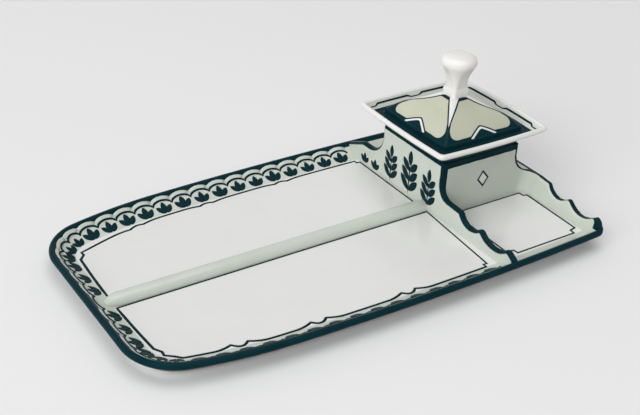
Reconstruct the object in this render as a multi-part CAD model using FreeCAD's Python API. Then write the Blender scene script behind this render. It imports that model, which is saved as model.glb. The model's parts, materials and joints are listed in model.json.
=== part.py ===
"""Desk inkstand of glazed porcelain: a two-lane pen tray with a square ink tower and a pagoda lid.

The tray's long axis is X, its front is -Y and it stands on z = 0.  The ink tower rises at the +X end,
between two wave-edged cross walls whose scallops hold pens.
"""
import FreeCAD
import Part

import math
import os

Vector = FreeCAD.Vector
UP = Vector(0, 0, 1)

# Plan of the tray: gentle sides, tighter shoulders and round corners at the left end
tray_length = 298.8
half_width = 86.3
widest_inset = 106.4
side_radius = 2220.0
shoulder_inset = 80.0
shoulder_radius = 285.0
corner_radius = 32.0
end_corner_radius = 6.0

# Section of the tray: a floor on a foot rim, sloping walls and a rounded lip
floor_top = 6.0
foot_recess = 1.8
foot_inset = 11.5
foot_width = 4.0
wall_run = 14.2
wall_root = 2.0
cove_sag = 0.8
rim_height = 13.1
lip_radius = 2.0
end_foot_inset = 4.0
end_lean_height = 15.0

# Ridge between the two pen lanes
ridge_radius = 5.2
ridge_nose_inset = 9.5

# Ink tower: a square well behind the tray's middle line
tower_inset = 45.25
tower_y = 15.85
tower_side = 60.5
tower_top = 43.0
tower_wall = 4.8

# Flared end of the tower, down to the straight edge of the outer cross wall
flare_radius = 14.0
end_edge_height = 21.0
end_wall_foot = 5.8
end_wall_lean = 2.2
end_corner_cove = 7.0

# Wave edge of the cross walls above the lip's crest
wave_rise = 7.2
cove_rise = 7.8
inner_cove_radius = 8.5
outer_cove_radius = 14.0
back_cove_radius = 14.0
hump_round = 2.4
edge_bevel = 1.4

# Humps and the dips between them: share of the way from tower to lip, share of the wave's rise
front_hump_shares = [(0.286, 1.0), (0.55, 0.78), (0.893, 0.62)]
front_dip_shares = [(0.41, 0.16), (0.725, -0.05)]
back_hump_shares = [(0.55, 1.05)]

# Ink pot: a round cup hung by a square flange from the tower's rim
flange_overlap = 1.8
flange_thickness = 2.5
flange_corner = 6.0
pot_play = 2.2
pot_wall = 3.5
pot_base = 3.5
pot_floor_gap = 1.5
pot_bevel = 5.0

# Lid: a bowed square dish with an upturned lip
lid_half = 43.2
lid_side_radius = 660.0
lid_corner = 3.0
lid_ring_width = 2.2
lid_ring_height = 3.4
lid_lip_under = 9.6
lid_lip_thickness = 3.8
lid_lip_width = 2.6
lid_lip_bevel = 1.0
lid_slope_run = 3.6
lid_trough_depth = 4.8
lid_shell = 4.0

# Roof of the lid: an eave step under a bell-shaped pyramid
roof_half = 31.5
eave_height = 3.4
eave_step = 1.2
roof_rise = 15.2
roof_top_half = 6.9

# Knob: a square foot, then a turned neck and head, tapered between stations: radius, rise from the foot
knob_foot_half = 5.9
knob_foot_corner = 1.6
knob_foot_height = 5.4
knob_side = [(5.6, 0.0), (5.6, 3.2), (7.6, 9.4), (10.9, 15.2), (11.2, 17.0), (10.0, 19.2), (5.0, 21.4)]

# Roof section from eave to top: share of the run, share of the rise
roof_shares = [(0.0, 0.0), (0.08, 0.13), (0.24, 0.32), (0.45, 0.54), (0.75, 0.75), (1.0, 1.0)]

# Flare under the lid's lip: share of the overhang, share of the height
flare_shares = [(0.0, 0.0), (0.08, 0.26), (0.38, 0.62), (1.0, 1.0)]

# Reach of cuts past the faces that they open
overrun = 5.0

# Distance within which two places count as one
fit_tolerance = 0.001

# Corners of a square of half side 1, in order
square_corners = [(-1, -1), (1, -1), (1, 1), (-1, 1)]

half_length = tray_length / 2
widest_station = half_length - widest_inset
shoulder_station = shoulder_inset - half_length
tower_x = half_length - tower_inset
root_inset = wall_run + wall_root
tower_half = tower_side / 2
tower_left = tower_x - tower_half
tower_right = tower_x + tower_half
tower_front = tower_y - tower_half
tower_back = tower_y + tower_half
well_half = tower_half - tower_wall
lip_top = tower_top + lid_lip_under + lid_lip_thickness
trough = lip_top - lid_trough_depth
eave_top = trough + eave_height
roof_top = eave_top + roof_rise


def plan_point(centre, radius, angle, z):
    """Return the point at an angle on a circle in plan."""
    return Vector(centre[0] + radius * math.cos(angle), centre[1] + radius * math.sin(angle), z)


def plan_arc(centre, radius, start, end, z):
    """Return the edge of an arc in plan between two angles."""
    points = [plan_point(centre, radius, angle, z) for angle in (start, (start + end) / 2, end)]
    return Part.Arc(*points).toShape()


def angle_to(centre, point):
    """Return the plan angle of a point seen from a centre."""
    return math.atan2(point[1] - centre[1], point[0] - centre[0])


# Centres of the three tangent arcs of one long side
side_centre = (widest_station, half_width - side_radius)
shoulder_angle = math.acos((shoulder_station - side_centre[0]) / side_radius)
shoulder_reach = side_radius - shoulder_radius
shoulder_centre = (
    side_centre[0] + shoulder_reach * math.cos(shoulder_angle),
    side_centre[1] + shoulder_reach * math.sin(shoulder_angle),
)
corner_x = corner_radius - half_length
corner_gap = shoulder_radius - corner_radius
corner_rise = math.sqrt(corner_gap**2 - (corner_x - shoulder_centre[0]) ** 2)
corner_centre = (corner_x, shoulder_centre[1] + corner_rise)
corner_angle = angle_to(shoulder_centre, corner_centre)


def side_y(x, inset):
    """Return the half width of the plan at a station, drawn in by an inset."""
    radius = side_radius - inset
    return side_centre[1] + math.sqrt(radius**2 - (x - side_centre[0]) ** 2)


def side_edges(inset, start_angle, z):
    """Return the edges of the back side, then the left end, then the front side."""
    arcs = [
        (side_centre, side_radius - inset, start_angle, shoulder_angle),
        (shoulder_centre, shoulder_radius - inset, shoulder_angle, corner_angle),
        (corner_centre, corner_radius - inset, corner_angle, math.pi),
    ]
    back = [plan_arc(centre, radius, start, end, z) for centre, radius, start, end in arcs]
    left_x = inset - half_length
    left = Part.makeLine(Vector(left_x, corner_centre[1], z), Vector(left_x, -corner_centre[1], z))
    front = [
        plan_arc((centre[0], -centre[1]), radius, -end, -start, z)
        for centre, radius, start, end in reversed(arcs)
    ]
    return back + [left] + front


def plan_face(inset, right_x, z, right_corner=0):
    """Return the face of the plan drawn in by an inset and closed by a straight right end."""
    if right_corner:
        centre_x = right_x - right_corner
        end_y = side_y(centre_x, inset + right_corner)
        start = angle_to(side_centre, (centre_x, end_y))
        turns = [
            plan_arc((centre_x, end_y), right_corner, 0, start, z),
            plan_arc((centre_x, -end_y), right_corner, -start, 0, z),
        ]
    else:
        end_y = side_y(right_x, inset)
        start = angle_to(side_centre, (right_x, end_y))
        turns = []
    right = Part.makeLine(Vector(right_x, -end_y, z), Vector(right_x, end_y, z))
    edges = Part.sortEdges(side_edges(inset, start, z) + turns + [right])[0]
    return Part.Face(Part.Wire(edges))


def tangent_angle(point, centre, radius, side):
    """Return the angle on a circle where a line from a point touches it."""
    return angle_to(centre, point) + side * math.acos(radius / math.dist(point, centre))


def rim_section(place):
    """Return the closed section of the wall, with each (inset, height) put in space by a function."""
    lip_centre = (lip_radius, rim_height - lip_radius)
    foot = (foot_inset, 0)
    floor = (wall_run, floor_top)
    inner = tangent_angle(floor, lip_centre, lip_radius, 1)
    outer = tangent_angle(foot, lip_centre, lip_radius, -1) + 2 * math.pi

    def on_lip(angle):
        return (
            lip_centre[0] + lip_radius * math.cos(angle),
            lip_centre[1] + lip_radius * math.sin(angle),
        )

    touch_out, crest, touch_in = [on_lip(angle) for angle in (outer, (outer + inner) / 2, inner)]
    run = (floor[0] - touch_in[0], floor[1] - touch_in[1])
    slope = math.hypot(*run)
    cove = (
        touch_in[0] + run[0] / 2 + cove_sag * run[1] / slope,
        touch_in[1] + run[1] / 2 - cove_sag * run[0] / slope,
    )
    root = (root_inset, floor_top)
    root_foot = (root_inset, 0)
    return Part.Wire([
        Part.makeLine(place(*foot), place(*touch_out)),
        Part.Arc(place(*touch_out), place(*crest), place(*touch_in)).toShape(),
        Part.Arc(place(*touch_in), place(*cove), place(*floor)).toShape(),
        Part.makeLine(place(*floor), place(*root)),
        Part.makeLine(place(*root), place(*root_foot)),
        Part.makeLine(place(*root_foot), place(*foot)),
    ])


def prism_y(edges, low_y, high_y):
    """Return the solid of an outline in the XZ plane run from one y to another."""
    face = Part.Face(Part.Wire(Part.sortEdges(edges)[0]))
    face.translate(Vector(0, low_y, 0))
    return face.extrude(Vector(0, high_y - low_y, 0))


def polyline(points, place):
    """Return the line edges through a row of 2-D points put in space by a function."""
    return [Part.makeLine(place(*a), place(*b)) for a, b in zip(points, points[1:])]


def in_xz(x, z):
    """Return a point of the XZ plane."""
    return Vector(x, 0, z)


def in_yz(y, z):
    """Return a point of the YZ plane."""
    return Vector(0, y, z)


def lean_x(z):
    """Return the outer face's x at a height below the lean's top, at the tray's right end."""
    return half_length - end_foot_inset * (1 - z / end_lean_height)


def largest(shape):
    """Return the largest solid of a shape, with its split faces joined."""
    return max(shape.removeSplitter().Solids, key=lambda solid: solid.Volume)


def make_tray_dish():
    """Return the dish: the wall's section run round the plan, the floor and the foot rim."""
    start_x = half_length + overrun
    start_angle = angle_to(side_centre, (start_x, side_y(start_x, 0)))
    path = Part.Wire(side_edges(0, start_angle, 0))
    outward = Vector(math.cos(start_angle), math.sin(start_angle), 0)
    origin = plan_point(side_centre, side_radius, start_angle, 0)
    wall = path.makePipeShell([rim_section(lambda i, z: origin - outward * i + UP * z)], True, False)
    floor = plan_face(root_inset, start_x, 0).extrude(UP * floor_top)
    recess_end = half_length - end_foot_inset - foot_width
    recess_face = plan_face(foot_inset + foot_width, recess_end, -overrun)
    recess = recess_face.extrude(UP * (foot_recess + overrun))
    far_x = half_length + overrun
    far_y = half_width + overrun
    ends = [
        (-far_x, 0),
        (lean_x(0), 0),
        (half_length, end_lean_height),
        (half_length, tower_top),
        (-far_x, tower_top),
        (-far_x, 0),
    ]
    left_of_end = prism_y(polyline(ends, in_xz), -far_y, far_y)
    rounded = plan_face(0, half_length, 0, end_corner_radius).extrude(UP * tower_top)
    dish = wall.fuse(floor).cut(recess).common(left_of_end).common(rounded)
    return largest(dish)


def make_divider_ridge(dish):
    """Return the half-round ridge with its round nose on the left wall's slope."""
    nose_x = ridge_nose_inset + ridge_radius - half_length
    middle = Vector(nose_x, 0, floor_top)
    bar = Part.makeCylinder(ridge_radius, tower_left - nose_x, middle, Vector(1, 0, 0))
    nose = Part.makeSphere(ridge_radius, middle)
    return largest(bar.fuse(nose).cut(under_floor()).cut(dish))


def under_floor():
    """Return the block of space below the floor's upper face."""
    size_x = tray_length + 2 * overrun
    size_y = 2 * (half_width + overrun)
    corner = Vector(-size_x / 2, -size_y / 2, -ridge_radius)
    return Part.makeBox(size_x, size_y, floor_top + ridge_radius, corner)


def edges_at_height(shape, z):
    """Return the level edges at a height."""
    return [
        edge
        for edge in shape.Edges
        if max(abs(edge.BoundBox.ZMin - z), abs(edge.BoundBox.ZMax - z)) < fit_tolerance
    ]


def edges_along_x(shape, y, z):
    """Return the edges along X at a place of the cross section."""
    return [
        edge
        for edge in shape.Edges
        if all(math.dist((v.Y, v.Z), (y, z)) < fit_tolerance for v in edge.Vertexes)
    ]


def make_wave(low_x, high_x, front_cove_radius):
    """Return the block under the wave edge between two stations, with its coves and round humps."""
    crest = side_y((low_x + high_x) / 2, lip_radius)
    front_span = crest + tower_front
    back_span = crest - tower_back

    def front(share, rise_share):
        return (tower_front - share * front_span, rim_height + rise_share * wave_rise)

    humps = [front(*pair) for pair in front_hump_shares]
    dips = [front(*pair) for pair in front_dip_shares]
    back_humps = [
        (tower_back + share * back_span, rim_height + rise_share * wave_rise)
        for share, rise_share in back_hump_shares
    ]
    front_cove = (tower_front, rim_height + cove_rise)
    back_cove = (tower_back, rim_height + cove_rise)
    scallops = [
        Part.Arc(in_yz(*start), in_yz(*dip), in_yz(*end)).toShape()
        for start, dip, end in zip(humps, dips, humps[1:])
    ]
    tower_row = [humps[0], front_cove, (tower_front, tower_top), (tower_back, tower_top), back_cove]
    foot_row = [(crest, rim_height), (crest, 0), (-crest, 0), (-crest, rim_height), humps[-1]]
    edges = scallops + polyline(tower_row + back_humps + foot_row, in_yz)
    face = Part.Face(Part.Wire(Part.sortEdges(edges)[0]))
    face.translate(Vector(low_x, 0, 0))
    block = face.extrude(Vector(high_x - low_x, 0, 0))
    for place in humps + back_humps:
        block = block.makeFillet(hump_round, edges_along_x(block, *place))
    block = block.makeFillet(front_cove_radius, edges_along_x(block, *front_cove))
    return block.makeFillet(back_cove_radius, edges_along_x(block, *back_cove))


def wave_rims(block, x):
    """Return the edges of the wave on the face at one station, up to the tower's rim."""
    rims = []
    for edge in block.Edges:
        box = edge.BoundBox
        on_face = max(abs(box.XMin - x), abs(box.XMax - x)) < fit_tolerance
        if on_face and box.ZMin > fit_tolerance and box.ZMin < tower_top - fit_tolerance:
            rims.append(edge)
    return rims


def make_inner_wave_wall(dish):
    """Return the upright cross wall that is also the tower's left side."""
    far_x = tower_left + tower_wall
    wave = make_wave(tower_left, far_x, inner_cove_radius)
    wave = wave.makeChamfer(edge_bevel, wave_rims(wave, tower_left) + wave_rims(wave, far_x))
    return largest(wave.cut(under_floor()).cut(dish))


def inner_lean_x(z):
    """Return the x of the outer wall's inner face at a height."""
    return half_length - end_wall_foot + end_wall_lean * (z - floor_top) / (end_edge_height - floor_top)


def end_wall_inside():
    """Return the edges of the tower's inner face at its flared side, from the floor to the rim."""
    inner_x = tower_right - tower_wall
    flare_z = end_edge_height + flare_radius
    knee_z = end_edge_height - tower_wall
    knee_x = inner_lean_x(knee_z)
    bend_x = inner_x + (knee_x - inner_x) * (1 - math.sqrt(0.5))
    bend_z = knee_z + (flare_z - knee_z) * (1 - math.sqrt(0.5))
    return [
        Part.makeLine(in_xz(inner_lean_x(floor_top), floor_top), in_xz(knee_x, knee_z)),
        Part.Arc(in_xz(knee_x, knee_z), in_xz(bend_x, bend_z), in_xz(inner_x, flare_z)).toShape(),
        Part.makeLine(in_xz(inner_x, flare_z), in_xz(inner_x, tower_top)),
    ]


def well_outline():
    """Return the closed outline, in XZ, of the space between the two cross walls of the tower."""
    left = tower_left + tower_wall
    rest = [
        (tower_right - tower_wall, tower_top),
        (left, tower_top),
        (left, floor_top),
        (inner_lean_x(floor_top), floor_top),
    ]
    return end_wall_inside() + polyline(rest, in_xz)


def side_compartment(tower_y_face, lip_y):
    """Return the space beside the tower, inside the outer wall, with its coved upright corner."""
    left = tower_left + tower_wall
    outline = [
        (left, floor_top),
        (inner_lean_x(floor_top), floor_top),
        (inner_lean_x(tower_top), tower_top),
        (left, tower_top),
        (left, floor_top),
    ]
    space = prism_y(polyline(outline, in_xz), min(tower_y_face, lip_y), max(tower_y_face, lip_y))
    corner = [
        edge
        for edge in space.Edges
        if edge.BoundBox.YLength < fit_tolerance
        and edge.BoundBox.XMin > left + fit_tolerance
        and edge.BoundBox.ZLength > fit_tolerance
        and abs(edge.BoundBox.YMin - tower_y_face) < fit_tolerance
    ]
    return space.makeFillet(end_corner_cove, corner)


def make_outer_wave_wall(dish):
    """Return the leaning end wall that flares up into the tower's right side."""
    flare_x = tower_right + flare_radius
    flare_z = end_edge_height + flare_radius
    inner_x = tower_right - tower_wall
    bend_reach = flare_radius * math.sqrt(0.5)
    bend = in_xz(flare_x - bend_reach, flare_z - bend_reach)
    lower = [
        (inner_x, floor_top),
        (lean_x(floor_top), floor_top),
        (half_length, end_lean_height),
        (half_length, end_edge_height),
        (flare_x, end_edge_height),
    ]
    upper = [(tower_right, flare_z), (tower_right, tower_top), (inner_x, tower_top), (inner_x, floor_top)]
    flare = Part.Arc(in_xz(flare_x, end_edge_height), bend, in_xz(tower_right, flare_z)).toShape()
    body = prism_y(polyline(lower, in_xz) + [flare] + polyline(upper, in_xz), -half_width, half_width)
    body = body.common(make_wave(inner_x - overrun, half_length + overrun, outer_cove_radius))
    body = body.common(plan_face(lip_radius, half_length, 0, end_corner_radius).extrude(UP * tower_top))
    for space in (
        prism_y(well_outline(), tower_front, tower_back),
        side_compartment(tower_front, -half_width),
        side_compartment(tower_back, half_width),
        dish,
    ):
        body = body.cut(space)
    return largest(body)


def make_tower_wall(low_y):
    """Return the plate between the two cross walls that closes the tower's front or back."""
    return prism_y(well_outline(), low_y, low_y + tower_wall)


def revolve_about(edges, x, y):
    """Return the solid of a closed outline, drawn as (radius, z) in XZ, turned about a plumb axis."""
    face = Part.Face(Part.Wire(Part.sortEdges(edges)[0]))
    solid = face.revolve(Vector(0, 0, 0), UP, 360)
    solid.translate(Vector(x, y, 0))
    return solid


def rounded_square(half, corner, z):
    """Return the wire of a straight-sided square with round corners about the tower's axis."""
    flat = half - corner
    edges = []
    for quarter in range(4):
        turn = quarter * math.pi / 2
        spin = FreeCAD.Rotation(UP, math.degrees(turn))
        start = spin.multVec(Vector(half, -flat, 0))
        end = spin.multVec(Vector(half, flat, 0))
        centre = spin.multVec(Vector(flat, flat, 0))
        edges.append(Part.makeLine(start, end))
        edges.append(plan_arc((centre.x, centre.y), corner, turn, turn + math.pi / 2, 0))
    wire = Part.Wire(edges)
    wire.translate(Vector(tower_x, tower_y, z))
    return wire


def cushion(half, corner, z):
    """Return the wire of a square whose sides bow out about the tower's axis."""
    bow = lid_side_radius - (lid_half - half)
    shift = bow - half
    reach = bow - corner
    diagonal = (math.sqrt(2 * reach**2 - shift**2) - shift) / 2
    swing = math.atan2(diagonal, diagonal + shift)
    edges = []
    for quarter in range(4):
        turn = quarter * math.pi / 2
        spin = FreeCAD.Rotation(UP, math.degrees(turn))
        centre = spin.multVec(Vector(-shift, 0, 0))
        knuckle = spin.multVec(Vector(diagonal, diagonal, 0))
        edges.append(plan_arc((centre.x, centre.y), bow, turn - swing, turn + swing, 0))
        next_start = turn + math.pi / 2 - swing
        edges.append(plan_arc((knuckle.x, knuckle.y), corner, turn + swing, next_start, 0))
    wire = Part.Wire(edges)
    wire.translate(Vector(tower_x, tower_y, z))
    return wire


def make_ink_pot():
    """Return the cup with its square flange on the tower's rim."""
    radius = well_half - pot_play
    bore = radius - pot_wall
    low = floor_top + pot_floor_gap
    top = tower_top + flange_thickness
    outline = [(0, low), (radius, low), (radius, tower_top), (0, tower_top), (0, low)]
    cup = revolve_about(polyline(outline, in_xz), tower_x, tower_y)
    flange_face = Part.Face(rounded_square(well_half + flange_overlap, flange_corner, tower_top))
    flange = flange_face.extrude(UP * flange_thickness)
    bottom = low + pot_base
    hollow_outline = [(0, bottom), (bore, bottom), (bore, top + overrun), (0, top + overrun), (0, bottom)]
    hollow = revolve_about(polyline(hollow_outline, in_xz), tower_x, tower_y)
    hollow = hollow.makeChamfer(pot_bevel, edges_at_height(hollow, bottom))
    return largest(cup.fuse(flange).cut(hollow))


def flat_face(points):
    """Return the flat face with the given corners."""
    return Part.Face(Part.makePolygon([*points, points[0]]))


def flat_loft(levels):
    """Return the flat-sided solid through squares, each given by its half side and height."""
    rings = [
        [Vector(tower_x + half * i, tower_y + half * j, z) for i, j in square_corners]
        for half, z in levels
    ]
    faces = [flat_face(rings[0]), flat_face(rings[-1])]
    for low, high in zip(rings, rings[1:]):
        for side in range(len(square_corners)):
            faces.append(flat_face([low[side - 1], low[side], high[side], high[side - 1]]))
    shell = Part.Shell(faces)
    shell.sewShape()
    return Part.Solid(shell)


def ruled_loft(corner, levels):
    """Return the straight-sided solid through bowed squares, each given by its half side and height."""
    return Part.makeLoft([cushion(half, corner, z) for half, z in levels], True, True)


def make_lid():
    """Return the lid: a flared dish with an upturned lip, and a hollow roof."""
    ring_half = tower_half
    lip_foot = lid_half - lid_lip_bevel
    overhang = lip_foot - ring_half
    lip_under = tower_top + lid_lip_under
    lip_half = lid_half - lid_lip_width
    trough_half = lip_half - lid_slope_run
    eave_half = roof_half - eave_step
    run = eave_half - roof_top_half
    hollow_half = ring_half - lid_ring_width
    hollow_low = tower_top + lid_ring_height

    flare = ruled_loft(lid_corner, [
        (ring_half + share * overhang, tower_top + rise_share * lid_lip_under)
        for share, rise_share in flare_shares
    ])
    lip = ruled_loft(lid_corner, [
        (lip_foot, lip_under),
        (lid_half, lip_under + lid_lip_bevel),
        (lid_half, lip_top - lid_lip_bevel),
        (lip_foot, lip_top),
    ])
    dish = ruled_loft(lid_corner, [
        (trough_half, trough),
        (lip_half, lip_top - lid_lip_bevel),
        (lip_half + lid_lip_bevel, lip_top),
    ])
    slopes = [
        (eave_half - share * run, eave_top + rise_share * roof_rise)
        for share, rise_share in roof_shares
    ]
    roof = flat_loft([(roof_half, trough), *slopes])
    hollow = flat_loft([
        (hollow_half, tower_top),
        (hollow_half, hollow_low),
        (eave_half - lid_shell, trough),
        (roof_top_half, roof_top - lid_shell),
    ])
    return largest(flare.fuse(lip).cut(dish).fuse(roof).cut(hollow))


def make_lid_knob():
    """Return the knob: a square foot, then a turned neck and head."""
    foot_face = Part.Face(rounded_square(knob_foot_half, knob_foot_corner, roof_top))
    foot = foot_face.extrude(UP * knob_foot_height)
    foot_top = roof_top + knob_foot_height
    side = [(radius, foot_top + rise) for radius, rise in knob_side]
    axis_foot = (0, side[0][1])
    axis_top = (0, side[-1][1])
    outline = polyline([axis_foot, *side, axis_top, axis_foot], in_xz)
    turned = revolve_about(outline, tower_x, tower_y)
    return largest(foot.fuse(turned))


def main():
    """Make every piece and write each to its own file."""
    dish = make_tray_dish()
    pieces = {
        "tray_dish": dish,
        "divider_ridge": make_divider_ridge(dish),
        "inner_wave_wall": make_inner_wave_wall(dish),
        "outer_wave_wall": make_outer_wave_wall(dish),
        "tower_front_wall": make_tower_wall(tower_front),
        "tower_back_wall": make_tower_wall(tower_back - tower_wall),
        "ink_pot": make_ink_pot(),
        "lid": make_lid(),
        "lid_knob": make_lid_knob(),
    }
    os.makedirs("parts", exist_ok=True)
    for name, shape in pieces.items():
        shape.exportStep(f"parts/{name}.step")
        print(name, len(shape.Solids), shape.isValid(), round(shape.Volume), shape.optimalBoundingBox())


main()
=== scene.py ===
"""Looks of a glazed porcelain desk inkstand: a pen tray with an ink tower, its pot and its lid."""

from __future__ import annotations

import json
import logging
import math
from dataclasses import dataclass, field
from enum import Enum
from typing import Iterable, Sequence, Union

import bmesh
import bpy
from mathutils import Matrix, Vector
from mathutils.geometry import delaunay_2d_cdt

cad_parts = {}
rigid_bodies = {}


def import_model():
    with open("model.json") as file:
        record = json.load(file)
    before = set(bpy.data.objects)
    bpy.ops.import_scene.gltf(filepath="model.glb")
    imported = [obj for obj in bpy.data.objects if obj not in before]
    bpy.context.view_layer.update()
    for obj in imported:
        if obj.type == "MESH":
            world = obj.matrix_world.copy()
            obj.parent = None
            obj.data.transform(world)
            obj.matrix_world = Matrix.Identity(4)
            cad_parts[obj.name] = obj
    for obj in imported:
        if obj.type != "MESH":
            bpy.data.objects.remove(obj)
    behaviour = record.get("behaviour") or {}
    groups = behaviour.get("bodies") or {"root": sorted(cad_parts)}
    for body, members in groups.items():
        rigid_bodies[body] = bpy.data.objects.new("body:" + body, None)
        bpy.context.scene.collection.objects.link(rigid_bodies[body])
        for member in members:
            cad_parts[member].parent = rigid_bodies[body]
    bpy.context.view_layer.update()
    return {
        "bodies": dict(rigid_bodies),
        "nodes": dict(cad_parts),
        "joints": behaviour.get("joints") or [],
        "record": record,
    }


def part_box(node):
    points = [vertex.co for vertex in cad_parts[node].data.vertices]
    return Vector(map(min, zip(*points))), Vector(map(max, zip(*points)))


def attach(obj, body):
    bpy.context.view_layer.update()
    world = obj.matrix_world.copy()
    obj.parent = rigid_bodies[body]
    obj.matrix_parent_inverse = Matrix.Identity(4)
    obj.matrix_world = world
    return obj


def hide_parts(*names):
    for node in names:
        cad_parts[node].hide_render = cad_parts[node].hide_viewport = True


LOG = logging.getLogger("inkstand")

MM = 0.001
SCALLOP_STEPS = 16
MERGE = 0.002 * MM
CDT_INSIDE = 1
CDT_GAP = 0.001 * MM
BRUSH_WAVER = 0.5

Colour = tuple[float, float, float, float]
Flat = tuple[float, float]
Level = tuple[float, float, float]
Row = list[Vector]


def srgb(red: int, green: int, blue: int) -> Colour:
    """Return a display colour, 0 to 255 a channel, as linear RGBA."""

    def linear(channel: int) -> float:
        share = channel / 255
        return share / 12.92 if share <= 0.04045 else ((share + 0.055) / 1.055) ** 2.4

    return (linear(red), linear(green), linear(blue), 1.0)


def mm(*points: Sequence[float]) -> tuple[tuple[float, ...], ...]:
    """Return points that are given in millimetres, in metres."""
    return tuple(tuple(value * MM for value in point) for point in points)


def box_axis(low: Vector, high: Vector) -> Flat:
    """Return the middle of a box as seen from above."""
    return ((low.x + high.x) / 2, (low.y + high.y) / 2)


class Tone:
    """A shader socket that is written into sums like a number."""

    def __init__(self, sheet: "NodeSheet", socket: bpy.types.NodeSocket) -> None:
        """Keep the sheet that holds the socket."""
        self.sheet = sheet
        self.socket = socket

    def _math(self, operation: str, *values: "Value", clamp: bool = False) -> "Tone":
        """Return the result of one Math node on these values."""
        settings = {"operation": operation, "use_clamp": clamp}
        return self.sheet.tone("ShaderNodeMath", settings, dict(enumerate(values)))

    def __add__(self, other: "Value") -> "Tone":
        """Return the sum."""
        return self._math("ADD", self, other)

    def __sub__(self, other: "Value") -> "Tone":
        """Return the difference."""
        return self._math("SUBTRACT", self, other)

    def __mul__(self, other: "Value") -> "Tone":
        """Return the product."""
        return self._math("MULTIPLY", self, other)

    def __truediv__(self, other: "Value") -> "Tone":
        """Return the quotient."""
        return self._math("DIVIDE", self, other)

    def __radd__(self, other: float) -> "Tone":
        """Return the sum with a number on the left."""
        return self._math("ADD", other, self)

    def __rsub__(self, other: float) -> "Tone":
        """Return a number less this tone."""
        return self._math("SUBTRACT", other, self)

    def __rmul__(self, other: float) -> "Tone":
        """Return the product with a number on the left."""
        return self._math("MULTIPLY", other, self)

    def __rtruediv__(self, other: float) -> "Tone":
        """Return a number divided by this tone."""
        return self._math("DIVIDE", other, self)

    def __abs__(self) -> "Tone":
        """Return the tone without its sign."""
        return self._math("ABSOLUTE", self)

    def least(self, other: "Value") -> "Tone":
        """Return the lower of two values."""
        return self._math("MINIMUM", self, other)

    def most(self, other: "Value") -> "Tone":
        """Return the higher of two values."""
        return self._math("MAXIMUM", self, other)

    def root(self) -> "Tone":
        """Return the square root."""
        return self._math("SQRT", self)

    def over(self, edge: "Value", blur: float = 0.15) -> "Tone":
        """Return a mask that goes from 0 to 1 where the tone passes an edge.

        Args:
            edge: The value at which the mask is one half.
            blur: How far the mask takes to rise.

        Returns:
            The mask, held between 0 and 1.
        """
        return self._math("MULTIPLY_ADD", self - edge, 1 / blur, 0.5, clamp=True)


Value = Union[Tone, bpy.types.NodeSocket, float, Sequence[float], bpy.types.ID]
Settings = dict[str, object]
Inputs = dict[Union[int, str], Value]


class NodeSheet:
    """A node tree that is written node by node."""

    def __init__(self, tree: bpy.types.NodeTree) -> None:
        """Keep the tree."""
        self.tree = tree

    def node(self, kind: str, settings: Settings, inputs: Inputs) -> bpy.types.Node:
        """Make one node.

        Args:
            kind: The node's type.
            settings: Its properties, set before the sockets.
            inputs: A value, a tone or a socket for each input, by name or index.

        Returns:
            The node.
        """
        made = self.tree.nodes.new(kind)
        for key, setting in settings.items():
            setattr(made, key, setting)
        for key, value in inputs.items():
            if isinstance(value, Tone):
                self.tree.links.new(value.socket, made.inputs[key])
            elif isinstance(value, bpy.types.NodeSocket):
                self.tree.links.new(value, made.inputs[key])
            else:
                made.inputs[key].default_value = value
        return made

    def tone(self, kind: str, settings: Settings, inputs: Inputs) -> Tone:
        """Return the first output of a new node as a tone."""
        return Tone(self, self.node(kind, settings, inputs).outputs[0])


class ShaderSheet(NodeSheet):
    """A glazed surface's node tree, with its place in millimetres at hand."""

    def __init__(self, name: str) -> None:
        """Start a material with an empty tree."""
        self.material = bpy.data.materials.new(name)
        self.material.use_nodes = True
        super().__init__(self.material.node_tree)
        self.tree.nodes.clear()
        self.place = self.node("ShaderNodeTexCoord", {}, {}).outputs["Object"]
        axes = self.node("ShaderNodeSeparateXYZ", {}, {0: self.place}).outputs
        self.x, self.y, self.z = (Tone(self, axis) / MM for axis in axes)

    def noise(self, scale: float, detail: float = 3.0) -> Tone:
        """Return a soft noise, about 0 to 1, with a number of patches per metre."""
        inputs = {"Vector": self.place, "Scale": scale, "Detail": detail}
        return self.tone("ShaderNodeTexNoise", {}, inputs)

    def waver(self, scale: float) -> Tone:
        """Return the unsteadiness of a brushed edge, in millimetres."""
        return (self.noise(scale) - 0.5) * BRUSH_WAVER

    def mix(self, mask: Value, low: Value, high: Value) -> Tone:
        """Return one colour where a mask is 0 and another where it is 1."""
        made = self.node("ShaderNodeMix", {"data_type": "RGBA"}, {0: mask, 6: low, 7: high})
        return Tone(self, made.outputs[2])

    def seal(self, colour: Tone, roughness: Value, coat: Value, glaze: "Glaze") -> bpy.types.Material:
        """Close the sheet with a coated surface.

        Args:
            colour: The painted colour.
            roughness: How dull the surface is.
            coat: Weight of the clear glaze.
            glaze: The glaze that gives the gloss and the faint waviness.

        Returns:
            The finished material.
        """
        waves = self.noise(glaze.ripple_scale, glaze.ripple_detail)
        lie = {"Strength": glaze.ripple, "Distance": glaze.ripple_depth, "Height": waves}
        bump = self.node("ShaderNodeBump", {}, lie)
        surface = self.node(
            "ShaderNodeBsdfPrincipled",
            {},
            {
                "Base Color": colour,
                "Roughness": roughness,
                "Specular IOR Level": glaze.gloss,
                "Coat Weight": coat,
                "Coat Roughness": glaze.coat_roughness,
                "Normal": bump.outputs[0],
            },
        )
        self.node("ShaderNodeOutputMaterial", {}, {"Surface": surface.outputs[0]})
        return self.material


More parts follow.
